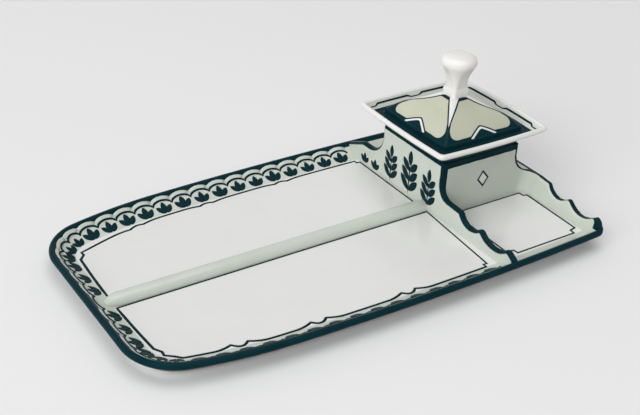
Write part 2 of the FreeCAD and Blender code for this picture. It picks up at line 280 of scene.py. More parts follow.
@dataclass(frozen=True)
class Glaze:
    """One glaze: its colour, how it pools and how it shines."""

    name: str
    colour: Colour
    pooled: Colour
    roughness: float = 0.2
    coat: float = 0.2
    gloss: float = 0.5
    patches: float = 55.0
    pool_middle: float = 0.55
    pool_blur: float = 0.5
    pool_share: float = 0.8
    fleck_scale: float = 900.0
    fleck_detail: float = 1.0
    fleck_middle: float = 0.76
    fleck_blur: float = 0.08
    shine_scale: float = 140.0
    shine_range: float = 0.08
    ripple: float = 0.08
    ripple_scale: float = 160.0
    ripple_detail: float = 2.0
    ripple_depth: float = 0.4 * MM
    coat_roughness: float = 0.06

    def spread(self, sheet: ShaderSheet) -> Tone:
        """Return the colour as it lies, thicker in soft patches and flecked a little."""
        pools = sheet.noise(self.patches).over(self.pool_middle, self.pool_blur)
        flecks = sheet.noise(self.fleck_scale, self.fleck_detail).over(self.fleck_middle, self.fleck_blur)
        depth = pools * self.pool_share + flecks * (1.0 - self.pool_share)
        return sheet.mix(depth, self.colour, self.pooled)

    def shine(self, sheet: ShaderSheet) -> Tone:
        """Return the roughness, uneven by a few hundredths."""
        least = self.roughness - self.shine_range / 2
        return sheet.noise(self.shine_scale) * self.shine_range + least

    def build(self) -> bpy.types.Material:
        """Return the material of a surface that wears this glaze alone."""
        sheet = ShaderSheet(self.name)
        return sheet.seal(self.spread(sheet), self.shine(sheet), self.coat, self)


class Finish(Enum):
    """The glazes of the set, and a porcelain white painted lighter for the knob as painted light."""

    PORCELAIN = Glaze("porcelain", srgb(228, 228, 226), srgb(224, 225, 222))
    # The same porcelain made lighter for the knob: painted light where the knob catches more light.
    BRIGHT = Glaze("bright_porcelain", srgb(234, 232, 228), srgb(230, 228, 224))
    CELADON = Glaze("celadon", srgb(203, 209, 199), srgb(195, 202, 191))
    TEAL = Glaze(
        "teal_enamel", srgb(3, 39, 46), srgb(8, 49, 56), roughness=0.3, coat=0.0, gloss=0.05, patches=120.0
    )
    CREAM = Glaze("cream_enamel", srgb(193, 195, 176), srgb(184, 187, 167))
    BISQUE = Glaze(
        "bisque_foot", srgb(206, 200, 190), srgb(188, 180, 168), roughness=0.7, coat=0.0, patches=300.0
    )


class Palette:
    """Materials, each made once."""

    def __init__(self) -> None:
        """Start with none made."""
        self.made: dict[Finish, bpy.types.Material] = {}

    def __getitem__(self, finish: Finish) -> bpy.types.Material:
        """Return the material of a finish."""
        if finish not in self.made:
            self.made[finish] = finish.value.build()
        return self.made[finish]


def link(name: str, mesh: bpy.types.Mesh) -> bpy.types.Object:
    """Return a new object in the scene that holds a mesh."""
    made = bpy.data.objects.new(name, mesh)
    bpy.context.scene.collection.objects.link(made)
    return made


def soften(mesh: bpy.types.Mesh, angle: float) -> None:
    """Shade a mesh smooth, but for edges sharper than an angle in degrees."""
    mesh.shade_smooth()
    mesh.set_sharp_from_angle(angle=math.radians(angle))


def settle(mesh: bpy.types.Mesh, merge: float = 0.0) -> None:
    """Turn a mesh's faces outwards, with points nearer than a distance joined first."""
    shape = bmesh.new()
    shape.from_mesh(mesh)
    if merge:
        bmesh.ops.remove_doubles(shape, verts=shape.verts, dist=merge)
    bmesh.ops.recalc_face_normals(shape, faces=shape.faces)
    shape.to_mesh(mesh)
    shape.free()


def bake(carrier: bpy.types.Object) -> bpy.types.Mesh:
    """Return an object's mesh as its modifiers leave it, and remove the object."""
    graph = bpy.context.evaluated_depsgraph_get()
    mesh = bpy.data.meshes.new_from_object(carrier.evaluated_get(graph))
    bpy.data.objects.remove(carrier)
    return mesh


@dataclass
class Loft:
    """A closed skin over rows of points, each row with one finish up to the next."""

    points: list[Vector] = field(default_factory=list)
    faces: list[tuple[int, ...]] = field(default_factory=list)
    paints: list[Finish] = field(default_factory=list)

    def row(self, points: Row) -> range:
        """Add a row and return its place among the points."""
        start = len(self.points)
        self.points.extend(points)
        return range(start, len(self.points))

    def face(self, corners: Iterable[int], finish: Finish) -> None:
        """Add one face."""
        self.faces.append(tuple(corners))
        self.paints.append(finish)

    def skin(self, rows: Sequence[tuple[Row, Finish]], last_cap: bool = True) -> list[range]:
        """Join closed rows in order and fill the first.

        Args:
            rows: The rows, each with the finish of the band up to the next row.
            last_cap: Whether the last row is filled.

        Returns:
            The rows' places among the points.
        """
        placed = [self.row(points) for points, _ in rows]
        for (low, high), (_, finish) in zip(zip(placed, placed[1:]), rows):
            count = len(low)
            for i in range(count):
                j = (i + 1) % count
                self.face((low[i], low[j], high[j], high[i]), finish)
        self.face(reversed(placed[0]), rows[0][1])
        if last_cap:
            self.face(placed[-1], rows[-1][1])
        return placed

    def build(self, name: str, palette: Palette, crease: float) -> bpy.types.Object:
        """Return the skin as an object.

        Args:
            name: The piece's name.
            palette: Where materials come from.
            crease: The angle in degrees past which an edge stays sharp.

        Returns:
            The object, at the origin.
        """
        mesh = bpy.data.meshes.new(name)
        mesh.from_pydata(self.points, [], self.faces)
        used = list(dict.fromkeys(self.paints))
        for finish in used:
            mesh.materials.append(palette[finish])
        mesh.polygons.foreach_set("material_index", [used.index(finish) for finish in self.paints])
        settle(mesh, MERGE)
        soften(mesh, crease)
        return link(name, mesh)


def lofted(
    name: str, rows: Sequence[tuple[Row, Finish]], palette: Palette, crease: float = 40.0
) -> bpy.types.Object:
    """Return closed rows, skinned in order and filled at both ends, as an object."""
    skin = Loft()
    skin.skin(rows)
    return skin.build(name, palette, crease)


def smooth_curve(knots: Sequence[tuple[float, ...]], steps: int) -> list[tuple[float, ...]]:
    """Return points on a smooth curve through a few knots.

    Args:
        knots: The points to pass through.
        steps: How many points between one knot and the next.

    Returns:
        The points, both ends included.
    """
    ends = [knots[0], *knots, knots[-1]]
    points = []
    for before, start, end, after in zip(ends, ends[1:], ends[2:], ends[3:]):
        for step in range(steps):
            t = step / steps
            points.append(tuple(
                0.5 * (
                    2 * q
                    + (r - p) * t
                    + (2 * p - 5 * q + 4 * r - s) * t**2
                    + (3 * q - p - 3 * r + s) * t**3
                )
                for p, q, r, s in zip(before, start, end, after)
            ))
    return points + [tuple(knots[-1])]


def arc(centre: Flat, radius: float, start: float, end: float, steps: int) -> list[Flat]:
    """Return the points of an arc, both ends included."""
    turns = [start + (end - start) * i / steps for i in range(steps + 1)]
    return [(centre[0] + radius * math.cos(turn), centre[1] + radius * math.sin(turn)) for turn in turns]


@dataclass
class TrayPlan:
    """The tray seen from above: two bowed sides, a narrowed left end and a straight right end."""

    half_length: float
    half_width: float
    widest_x: float = 43.0 * MM
    side_radius: float = 2220 * MM
    shoulder_x: float = -69.4 * MM
    shoulder_radius: float = 285 * MM
    corner_radius: float = 32 * MM
    end_corner: float = 6 * MM
    least_corner: float = 0.3 * MM
    corner_gap: float = 0.2 * MM
    side_steps: int = 48
    shoulder_steps: int = 20
    corner_steps: int = 28
    left_steps: int = 8
    right_steps: int = 12
    right_turns: int = 8

    def __post_init__(self) -> None:
        """Work out the centres of the three tangent arcs of the back side."""
        self.side_centre = (self.widest_x, self.half_width - self.side_radius)
        self.shoulder_turn = math.acos((self.shoulder_x - self.widest_x) / self.side_radius)
        reach = self.side_radius - self.shoulder_radius
        self.shoulder_centre = (
            self.side_centre[0] + reach * math.cos(self.shoulder_turn),
            self.side_centre[1] + reach * math.sin(self.shoulder_turn),
        )
        corner_x = self.corner_radius - self.half_length
        gap = self.shoulder_radius - self.corner_radius
        away = corner_x - self.shoulder_centre[0]
        self.corner_centre = (corner_x, self.shoulder_centre[1] + math.sqrt(gap**2 - away**2))
        self.corner_turn = math.atan2(self.corner_centre[1] - self.shoulder_centre[1], away)

    def half_width_at(self, x: float, inset: float) -> float:
        """Return the half width at a station, drawn in by an inset."""
        if x > self.shoulder_x:
            centre, radius = self.side_centre, self.side_radius
        elif x > self.shoulder_centre[0] + self.shoulder_radius * math.cos(self.corner_turn):
            centre, radius = self.shoulder_centre, self.shoulder_radius
        else:
            centre, radius = self.corner_centre, self.corner_radius
        return centre[1] + math.sqrt((radius - inset) ** 2 - (x - centre[0]) ** 2)

    def back_side(self, inset: float, start_x: float) -> list[Flat]:
        """Return points of the back side from a right-hand station round to the left end's middle."""
        start_y = self.half_width_at(start_x, inset)
        start = math.atan2(start_y - self.side_centre[1], start_x - self.side_centre[0])
        turns = (start, self.shoulder_turn, self.corner_turn, math.pi)
        arcs = (
            (self.side_centre, self.side_radius, self.side_steps),
            (self.shoulder_centre, self.shoulder_radius, self.shoulder_steps),
            (self.corner_centre, self.corner_radius, self.corner_steps),
        )
        points: list[Flat] = []
        for (centre, radius, steps), first, last in zip(arcs, turns, turns[1:]):
            points += arc(centre, radius - inset, first, last, steps)[1 if points else 0:]
        left_x, left_y = points[-1]
        shares = [1 - i / self.left_steps for i in range(1, self.left_steps + 1)]
        return points + [(left_x, left_y * share) for share in shares]

    def loop(self, inset: float, right_x: float) -> list[Flat]:
        """Return the closed outline drawn in by an inset, with the same count of points for any inset."""
        corner = max(self.end_corner - inset, self.least_corner)
        corner_x = right_x - corner
        corner_y = self.half_width_at(corner_x, inset + corner)
        end = [(right_x, corner_y * i / self.right_steps) for i in range(self.right_steps)]
        turn = arc((corner_x, corner_y), corner, 0, math.pi / 2, self.right_turns)
        half = end + turn + self.back_side(inset, corner_x - self.corner_gap)
        return half + [(x, -y) for x, y in reversed(half[1:-1])]


@dataclass
class RimSection:
    """The tray's wall in section: foot, leaning outside, rolled lip and coved inside slope."""

    rim: float
    floor: float = 6 * MM
    foot_inset: float = 11.5 * MM
    foot_width: float = 4 * MM
    foot_recess: float = 1.8 * MM
    wall_run: float = 14.2 * MM
    cove_sag: float = 0.8 * MM
    lip_radius: float = 2 * MM
    band_low: float = 4.4 * MM
    band_inset: float = 5.0 * MM
    edge_round: float = 0.5 * MM
    outside: tuple[float, ...] = (0.6 * MM, 2.5 * MM, 6.4 * MM, 8.5 * MM)
    cove_steps: int = 16
    lip_steps: int = 14

    def touch(self, point: Flat, side: int) -> float:
        """Return the angle on the lip's circle where a line from a point touches it."""
        away = (point[0] - self.lip_radius, point[1] - self.rim + self.lip_radius)
        return math.atan2(away[1], away[0]) + side * math.acos(self.lip_radius / math.hypot(*away))

    def slope(self) -> list[Flat]:
        """Return (inset, height) points from the lip down the coved slope to the floor."""
        lip_centre = (self.lip_radius, self.rim - self.lip_radius)
        top = arc(lip_centre, self.lip_radius, self.touch((self.wall_run, self.floor), 1), 0, 1)[0]
        run = (self.wall_run - top[0], self.floor - top[1])
        length = math.hypot(*run)
        points = []
        for step in range(self.cove_steps + 1):
            t = step / self.cove_steps
            sag = 4 * self.cove_sag * t * (1 - t) / length
            points.append((top[0] + run[0] * t + sag * run[1], top[1] + run[1] * t - sag * run[0]))
        return points

    def rows(self) -> list[tuple[Flat, Finish]]:
        """Return (inset, height) points from the foot's recess over the lip to the floor."""
        inner_foot = self.foot_inset + self.foot_width
        edge = self.edge_round
        lip_centre = (self.lip_radius, self.rim - self.lip_radius)
        inner = self.touch((self.wall_run, self.floor), 1)
        outer = self.touch((self.foot_inset, 0), -1) + 2 * math.pi
        lip = arc(lip_centre, self.lip_radius, outer, inner, self.lip_steps)
        touch = lip[0]
        rows = [
            ((inner_foot + edge, self.foot_recess), Finish.PORCELAIN),
            ((inner_foot, self.foot_recess), Finish.PORCELAIN),
            ((inner_foot, edge), Finish.BISQUE),
            ((inner_foot - edge, 0), Finish.BISQUE),
            ((self.foot_inset + edge, 0), Finish.BISQUE),
        ]
        for height in sorted([*self.outside, self.band_low]):
            inset = self.foot_inset + (touch[0] - self.foot_inset) * height / touch[1]
            rows.append(((inset, height), Finish.TEAL if height >= self.band_low else Finish.PORCELAIN))
        rows += [(point, Finish.TEAL) for point in lip]
        insets = sorted([self.band_inset, *(inset for inset, _ in self.slope()[1:])])
        for inset in insets:
            finish = Finish.TEAL if inset < self.band_inset else Finish.CELADON
            rows.append(((inset, self.height_at(inset)), finish))
        return rows + [((self.wall_run + edge, self.floor), Finish.CELADON)]

    def height_at(self, inset: float) -> float:
        """Return the height of the slope, or of the floor past it, at an inset."""
        points = self.slope()
        for (near, high), (far, low) in zip(points, points[1:]):
            if near <= inset <= far:
                return high + (low - high) * (inset - near) / (far - near)
        return self.floor


@dataclass(frozen=True)
class LaneLine:
    """What sets the outline of one pen lane apart from the other's.

    Args:
        inset: How far inside the rim the long side lies.
        far_x: Where the long side meets the cross wall's foot.
        corner: The steps of the left corner, as for the back lane.
        cusps: The middles of the pairs of cusps.
        point: How far the tip of a cusp reaches in.
        bend: How far the long side draws in at its left end.
    """

    inset: float
    far_x: float
    corner: tuple[Flat, ...]
    cusps: tuple[float, ...]
    point: float
    bend: float


@dataclass
class FloorPanels:
    """The white floor panels and their cusped outlines."""

    plan: TrayPlan
    front: LaneLine = LaneLine(
        inset=14.9 * MM,
        far_x=68.0 * MM,
        corner=mm((-129.6, 50.8), (-130.0, 53.8), (-125.8, 57.2)),
        cusps=(-92.4 * MM, -46.4 * MM, 11.6 * MM),
        point=2.7 * MM,
        bend=0.0,
    )
    back: LaneLine = LaneLine(
        inset=16.5 * MM,
        far_x=73.0 * MM,
        corner=mm((-128.9, 50.2), (-129.0, 53.2)),
        cusps=(-90.0 * MM, -41.6 * MM, 12.5 * MM),
        point=1.3 * MM,
        bend=3.3 * MM,
    )
    left_x: float = -133.8 * MM
    left_bow: float = 1.6 * MM
    left_steps: int = 6
    ridge_y: float = 5.7 * MM
    straight_y: float = 46.5 * MM
    long_start: float = -122.8 * MM
    long_step: float = 1.5 * MM
    bend_start: float = -85.0 * MM
    fin_x: float = 73.0 * MM
    cusp_half: float = 4.6 * MM
    cusp_reach: float = 11 * MM
    end_gap: float = 4.2 * MM
    notch: float = 2.52 * MM
    front_bay: tuple[Flat, ...] = mm(
        (92.4, -18.6), (92.9, -15.4), (139.8, -15.6), (140.2, -19.2), (142.7, -20.2), (141.5, -64.6),
        (137.0, -65.6), (136.8, -68.9), (91.6, -69.0), (91.2, -65.6), (86.2, -65.0), (86.6, -19.2),
    )
    back_bay: tuple[Flat, ...] = mm(
        (90.6, 47.4), (137.2, 47.4), (137.2, 51.6), (141.4, 51.6), (141.4, 64.8), (137.2, 64.8),
        (137.2, 69.0), (90.6, 69.0), (90.6, 64.8), (86.4, 64.8), (86.4, 51.6), (90.6, 51.6),
    )

    def draw_in(self, x: float, line: LaneLine) -> float:
        """Return how far inside the rim a lane's long side lies at a station."""
        away = min(abs(x - place) for place in line.cusps)
        past = away - self.cusp_half
        share = away / self.cusp_half if past < 0 else max(0.0, 1 - past / self.cusp_reach)
        bend = max(0.0, (self.bend_start - x) / (self.bend_start - self.long_start))
        return line.inset + line.point * share**2 + line.bend * bend

    def lane(self, side: int) -> list[Flat]:
        """Return the outline of one pen lane, front for -1 and back for 1."""
        line = self.front if side < 0 else self.back
        end_x = line.far_x - self.end_gap
        count = math.ceil((end_x - self.long_start) / self.long_step)
        stations = {self.long_start + i * self.long_step for i in range(count)}
        for place in line.cusps:
            stations |= {place - self.cusp_half, place + self.cusp_half}
        long_side = [(x, self.plan.half_width_at(x, self.draw_in(x, line))) for x in sorted(stations)]
        end_y = self.plan.half_width_at(line.far_x, line.inset)
        points = [(self.fin_x, self.ridge_y)]
        for i in range(self.left_steps + 1):
            y = self.ridge_y + (self.straight_y - self.ridge_y) * i / self.left_steps
            points.append((self.left_x + self.left_bow * (y / self.straight_y) ** 2, y))
        points += [*line.corner, *long_side]
        notch_x = line.far_x - self.notch
        notch_y = end_y - self.notch
        points += [(notch_x, end_y), (notch_x, notch_y), (line.far_x, notch_y)]
        return [(x, side * y) for x, y in points]

    def outlines(self) -> list[list[Flat]]:
        """Return the outlines of both lanes and both compartments."""
        return [self.lane(-1), self.lane(1), list(self.front_bay), list(self.back_bay)]


class GeometrySheet(NodeSheet):
    """A Geometry Nodes tree with named inputs."""

    def __init__(self, name: str, inputs: dict[str, str]) -> None:
        """Start a tree.

        Args:
            name: The tree's name.
            inputs: A socket type for each named input beside the geometry.
        """
        super().__init__(bpy.data.node_groups.new(name, "GeometryNodeTree"))
        face = self.tree.interface
        face.new_socket("Geometry", in_out="INPUT", socket_type="NodeSocketGeometry")
        face.new_socket("Geometry", in_out="OUTPUT", socket_type="NodeSocketGeometry")
        for label, kind in inputs.items():
            face.new_socket(label, in_out="INPUT", socket_type=kind)
        self.given = self.tree.nodes.new("NodeGroupInput").outputs
        self.end = self.tree.nodes.new("NodeGroupOutput").inputs[0]

    def close(self, geometry: bpy.types.NodeSocket) -> None:
        """Realize what was made, give it its material and end the tree."""
        real = self.node("GeometryNodeRealizeInstances", {}, {0: geometry}).outputs[0]
        smooth = self.node("GeometryNodeSetShadeSmooth", {}, {0: real}).outputs[0]
        paint = {"Geometry": smooth, "Material": self.given["Material"]}
        painted = self.node("GeometryNodeSetMaterial", {}, paint)
        self.tree.links.new(painted.outputs[0], self.end)

    def apply(self, carrier: bpy.types.Object, values: dict[str, object]) -> bpy.types.Object:
        """Run the tree on an object and return the result as a plain mesh object of the same name.

        Args:
            carrier: The object that holds the path or the points. It is removed.
            values: A value for each named input.

        Returns:
            The finished object.
        """
        modifier = carrier.modifiers.new(self.tree.name, "NODES")
        modifier.node_group = self.tree
        for item in self.tree.interface.items_tree:
            if item.name in values:
                modifier[item.identifier] = values[item.name]
        carrier.update_tag()
        name = carrier.name
        return link(name, bake(carrier))


@dataclass(frozen=True)
class EnamelLine:
    """A painted line that stands a little proud of the glaze, swept along its paths."""

    radius: float = 1.8 * MM
    sink: float = 1.5 * MM
    sides: int = 10

    def sheet(self) -> GeometrySheet:
        """Return the tree that sweeps a round bead along each path."""
        form = GeometrySheet("enamel_line", {
            "Bead radius": "NodeSocketFloat",
            "Sink": "NodeSocketFloat",
            "Material": "NodeSocketMaterial",
        })
        path = form.node("GeometryNodeMeshToCurve", {}, {0: form.given["Geometry"]}).outputs[0]
        down = Tone(form, form.given["Sink"]) * -1.0
        drop = form.node("ShaderNodeCombineXYZ", {}, {"Z": down}).outputs[0]
        sunk = form.node("GeometryNodeSetPosition", {}, {"Geometry": path, "Offset": drop}).outputs[0]
        bead = {"Resolution": self.sides, "Radius": form.given["Bead radius"]}
        ring = form.node("GeometryNodeCurvePrimitiveCircle", {}, bead).outputs[0]
        sweep = {"Curve": sunk, "Profile Curve": ring, "Fill Caps": True}
        form.close(form.node("GeometryNodeCurveToMesh", {}, sweep).outputs[0])
        return form

    def draw(
        self, name: str, paths: Sequence[Row], material: bpy.types.Material, closed: bool = True
    ) -> bpy.types.Object:
        """Return paths as one object of beads.

        Args:
            name: The piece's name.
            paths: The points of each line.
            material: Its enamel.
            closed: Whether each line runs back to its start.

        Returns:
            The finished object.
        """
        points: list[Vector] = []
        edges = []
        for path in paths:
            start = len(points)
            points.extend(path)
            count = len(path)
            edges += [(start + i, start + (i + 1) % count) for i in range(count if closed else count - 1)]
        mesh = bpy.data.meshes.new(name)
        mesh.from_pydata(points, edges, [])
        values = {"Bead radius": self.radius, "Sink": self.sink, "Material": material}
        return self.sheet().apply(link(name, mesh), values)


@dataclass(frozen=True)
class Petal:
    """One pointed brush stroke of a motif: where it starts, which way it goes and how large it is."""

    x: float
    y: float
    lean: float
    length: float
    width: float


@dataclass
class Motif:
    """A small painted figure, laid on a surface and repeated."""

    name: str
    petals: Sequence[Petal]
    crown: float = 0.14 * MM
    root: float = -0.3 * MM
    edge_share: float = 0.2
    top_share: float = 0.55
    around: int = 14

    def build(self) -> bpy.types.Object:
        """Return the figure as an object of closed lens-shaped strokes, with their lift as an attribute."""
        points: list[Vector] = []
        lifts: list[float] = []
        faces = []
        count = self.around
        for petal in self.petals:
            turn = Matrix.Rotation(-math.radians(petal.lean), 2)
            rings = [(1.0, self.root), (1.0, self.edge_share * self.crown), (self.top_share, self.crown)]
            start = len(points)
            for share, lift in rings:
                for i in range(count):
                    angle = 2 * math.pi * i / count
                    along = 0.5 - 0.5 * math.cos(angle) * share
                    swell = math.sin(angle) * math.sqrt(abs(math.sin(angle)))
                    spot = turn @ Vector((swell * share * petal.width / 2, along * petal.length))
                    points.append(Vector((petal.x + spot.x, petal.y + spot.y, 0)))
                    lifts.append(lift)
            for ring in range(len(rings) - 1):
                low = start + ring * count
                for i in range(count):
                    j = (i + 1) % count
                    faces.append((low + i, low + j, low + count + j, low + count + i))
            faces.append(tuple(reversed(range(start, start + count))))
            faces.append(tuple(range(start + 2 * count, start + 3 * count)))
        mesh = bpy.data.meshes.new(self.name)
        mesh.from_pydata(points, [], faces)
        mesh.attributes.new("lift", "FLOAT", "POINT").data.foreach_set("value", lifts)
        settle(mesh)
        return link(self.name, mesh)


@dataclass
class MotifRow:
    """A motif set at points and pressed onto the glazed surface under it."""

    seed: int = 7
    jitter: float = 0.05

    def sheet(self) -> GeometrySheet:
        """Return the tree that sets the motif at each point and lays it on the target."""
        form = GeometrySheet("motif_row", {
            "Motif": "NodeSocketObject",
            "Target": "NodeSocketObject",
            "Seed": "NodeSocketInt",
            "Jitter": "NodeSocketFloat",
            "Material": "NodeSocketMaterial",
        })

        def attribute(name: str, kind: str) -> bpy.types.NodeSocket:
            made = form.node("GeometryNodeInputNamedAttribute", {"data_type": kind}, {"Name": name})
            return made.outputs[0]

        def shape_of(label: str) -> bpy.types.NodeSocket:
            made = form.node("GeometryNodeObjectInfo", {}, {"Object": form.given[label]})
            return made.outputs["Geometry"]

        motif = shape_of("Motif")
        target = shape_of("Target")
        jitter = Tone(form, form.given["Jitter"])
        span = {"Min": (1.0 - jitter).socket, "Max": (1.0 + jitter).socket, "Seed": form.given["Seed"]}
        uneven = form.node("FunctionNodeRandomValue", {"data_type": "FLOAT"}, {})
        floats = [socket for socket in uneven.inputs if socket.enabled]
        for socket in floats:
            if socket.name in span:
                form.tree.links.new(span[socket.name], socket)
        chance = next(socket for socket in uneven.outputs if socket.enabled)
        size = Tone(form, attribute("size", "FLOAT")) * chance
        turn = form.node("FunctionNodeEulerToRotation", {}, {0: attribute("turn", "FLOAT_VECTOR")})
        spread = form.node("GeometryNodeInstanceOnPoints", {}, {
            "Points": form.given["Geometry"],
            "Instance": motif,
            "Rotation": turn.outputs[0],
            "Scale": size,
        })
        real = form.node("GeometryNodeRealizeInstances", {}, {0: spread.outputs[0]}).outputs[0]
        spot = form.node("GeometryNodeInputPosition", {}, {}).outputs[0]
        facing = form.node("GeometryNodeInputNormal", {}, {}).outputs[0]

        def nearest(value: bpy.types.NodeSocket) -> bpy.types.NodeSocket:
            sample = form.node("GeometryNodeSampleNearestSurface", {"data_type": "FLOAT_VECTOR"}, {
                "Mesh": target,
                "Value": value,
                "Sample Position": spot,
            })
            return sample.outputs[0]

        rise = form.node("ShaderNodeVectorMath", {"operation": "SCALE"}, {
            0: nearest(facing),
            "Scale": attribute("lift", "FLOAT"),
        })
        lift = {0: nearest(spot), 1: rise.outputs[0]}
        laid = form.node("ShaderNodeVectorMath", {"operation": "ADD"}, lift)
        pressed = form.node("GeometryNodeSetPosition", {}, {"Geometry": real, "Position": laid.outputs[0]})
        form.close(pressed.outputs[0])
        return form

    def lay(
        self,
        name: str,
        spots: Sequence[tuple[Matrix, float]],
        motif: Motif,
        target: bpy.types.Object,
        material: bpy.types.Material,
    ) -> bpy.types.Object:
        """Return the repeated motif as one object.

        Args:
            name: The piece's name.
            spots: A placed frame and a size for each repeat.
            motif: The figure.
            target: The surface it lies on.
            material: Its enamel.

        Returns:
            The finished object.
        """
        mesh = bpy.data.meshes.new(name)
        mesh.from_pydata([frame.translation for frame, _ in spots], [], [])
        turns = [angle for frame, _ in spots for angle in frame.to_euler()]
        mesh.attributes.new("turn", "FLOAT_VECTOR", "POINT").data.foreach_set("vector", turns)
        sizes = [size for _, size in spots]
        mesh.attributes.new("size", "FLOAT", "POINT").data.foreach_set("value", sizes)
        figure = motif.build()
        values = {
            "Motif": figure,
            "Target": target,
            "Seed": self.seed,
            "Jitter": self.jitter,
            "Material": material,
        }
        laid = self.sheet().apply(link(name, mesh), values)
        bpy.data.objects.remove(figure)
        return laid


@dataclass
class TrayDish:
    """The dish of the tray: rolled rim, sloped sides, floor and foot."""

    palette: Palette
    plan: TrayPlan
    section: RimSection
    panels: FloorPanels
    end_foot: float = 4 * MM
    end_lean: float = 15 * MM
    end_height: float = 11.5 * MM
    recess_end: float = 141.4 * MM
    floor_end: float = 145.2 * MM
    inner_lean: float = 0.147
    end_reach: float = 0.1 * MM
    end_tuck: float = 0.2 * MM
    recess_rows: int = 3

    def row(self, inset: float, height: float, right_x: float) -> Row:
        """Return one row of the section round the plan, kept low where the end wall stands on it."""
        points = []
        for x, y in self.plan.loop(inset, right_x):
            z = min(height, self.end_height) if x > right_x - self.end_reach else height
            points.append(Vector((x, y, z)))
        return points

    def end_x(self, height: float, outside: bool) -> float:
        """Return where a row ends on the right, inside the end wall."""
        if outside:
            return self.plan.half_length - self.end_foot * (1 - height / self.end_lean) - self.end_tuck
        return self.floor_end + self.inner_lean * (height - self.section.floor)

    def build(self) -> bpy.types.Object:
        """Return the dish, dressed in white, celadon and a dark rim band."""
        skin = Loft()
        rows = []
        steps = self.section.rows()
        crest = max(range(len(steps)), key=lambda i: steps[i][0][1])
        for i, ((inset, height), finish) in enumerate(steps):
            right_x = self.recess_end if i < self.recess_rows else self.end_x(height, i <= crest)
            rows.append((self.row(inset, height, right_x), finish))
        placed = skin.skin(rows, last_cap=False)
        self.fill_floor(skin, [skin.points[i] for i in placed[-1]])
        dish = skin.build("tray_dish_glazed", self.palette, crease=30.0)
        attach(dish, "tray")
        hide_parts("tray_dish")
        return dish

    def fill_floor(self, skin: Loft, edge: Row) -> None:
        """Close the floor, split along the panels' outlines so that each panel is white."""
        loops = [[(point.x, point.y) for point in edge], *self.panels.outlines()]
        flat = [Vector(point) for loop in loops for point in loop]
        faces = []
        start = 0
        for loop in loops:
            faces.append(list(range(start, start + len(loop))))
            start += len(loop)
        points, _, cells, _, _, origins = delaunay_2d_cdt(flat, [], faces, CDT_INSIDE, CDT_GAP, True)
        height = edge[0].z
        placed = skin.row([Vector((point.x, point.y, height)) for point in points])
        for cell, origin in zip(cells, origins):
            panel = any(index > 0 for index in origin)
            skin.face((placed[i] for i in cell), Finish.PORCELAIN if panel else Finish.CELADON)


@dataclass
class DividerRidge:
    """The half-round ridge between the two pen lanes, with a round nose on the left slope."""

    palette: Palette
    low: Vector
    high: Vector
    sink: float = 0.6 * MM
    around: int = 24
    nose_length: float = 11 * MM
    nose_steps: int = 16
    overrun: float = 1.5 * MM
    along: int = 24
    foot_share: float = 0.98

    def build(self) -> bpy.types.Object:
        """Return the ridge as closed hoops along its length."""
        radius = self.high.y
        floor = self.low.z
        nose = self.low.x + self.nose_length
        turns = [math.pi / 2 * i / self.nose_steps for i in range(1, self.nose_steps + 1)]
        hoops = [(nose - self.nose_length * math.cos(turn), radius * math.sin(turn)) for turn in turns]
        length = self.high.x + self.overrun - nose
        hoops += [(nose + length * i / self.along, radius) for i in range(1, self.along + 1)]
        rows = []
        for x, size in hoops:
            hoop = []
            for i in range(self.around):
                turn = math.pi * i / (self.around - 1)
                hoop.append(Vector((x, size * math.cos(turn), floor + size * math.sin(turn))))
            for side in (-self.foot_share, self.foot_share):
                hoop.append(Vector((x, size * side, floor - self.sink)))
            rows.append((hoop, Finish.CELADON))
        ridge = lofted("divider_ridge_glazed", rows, self.palette)
        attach(ridge, "tray")
        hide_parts("divider_ridge")
        return ridge


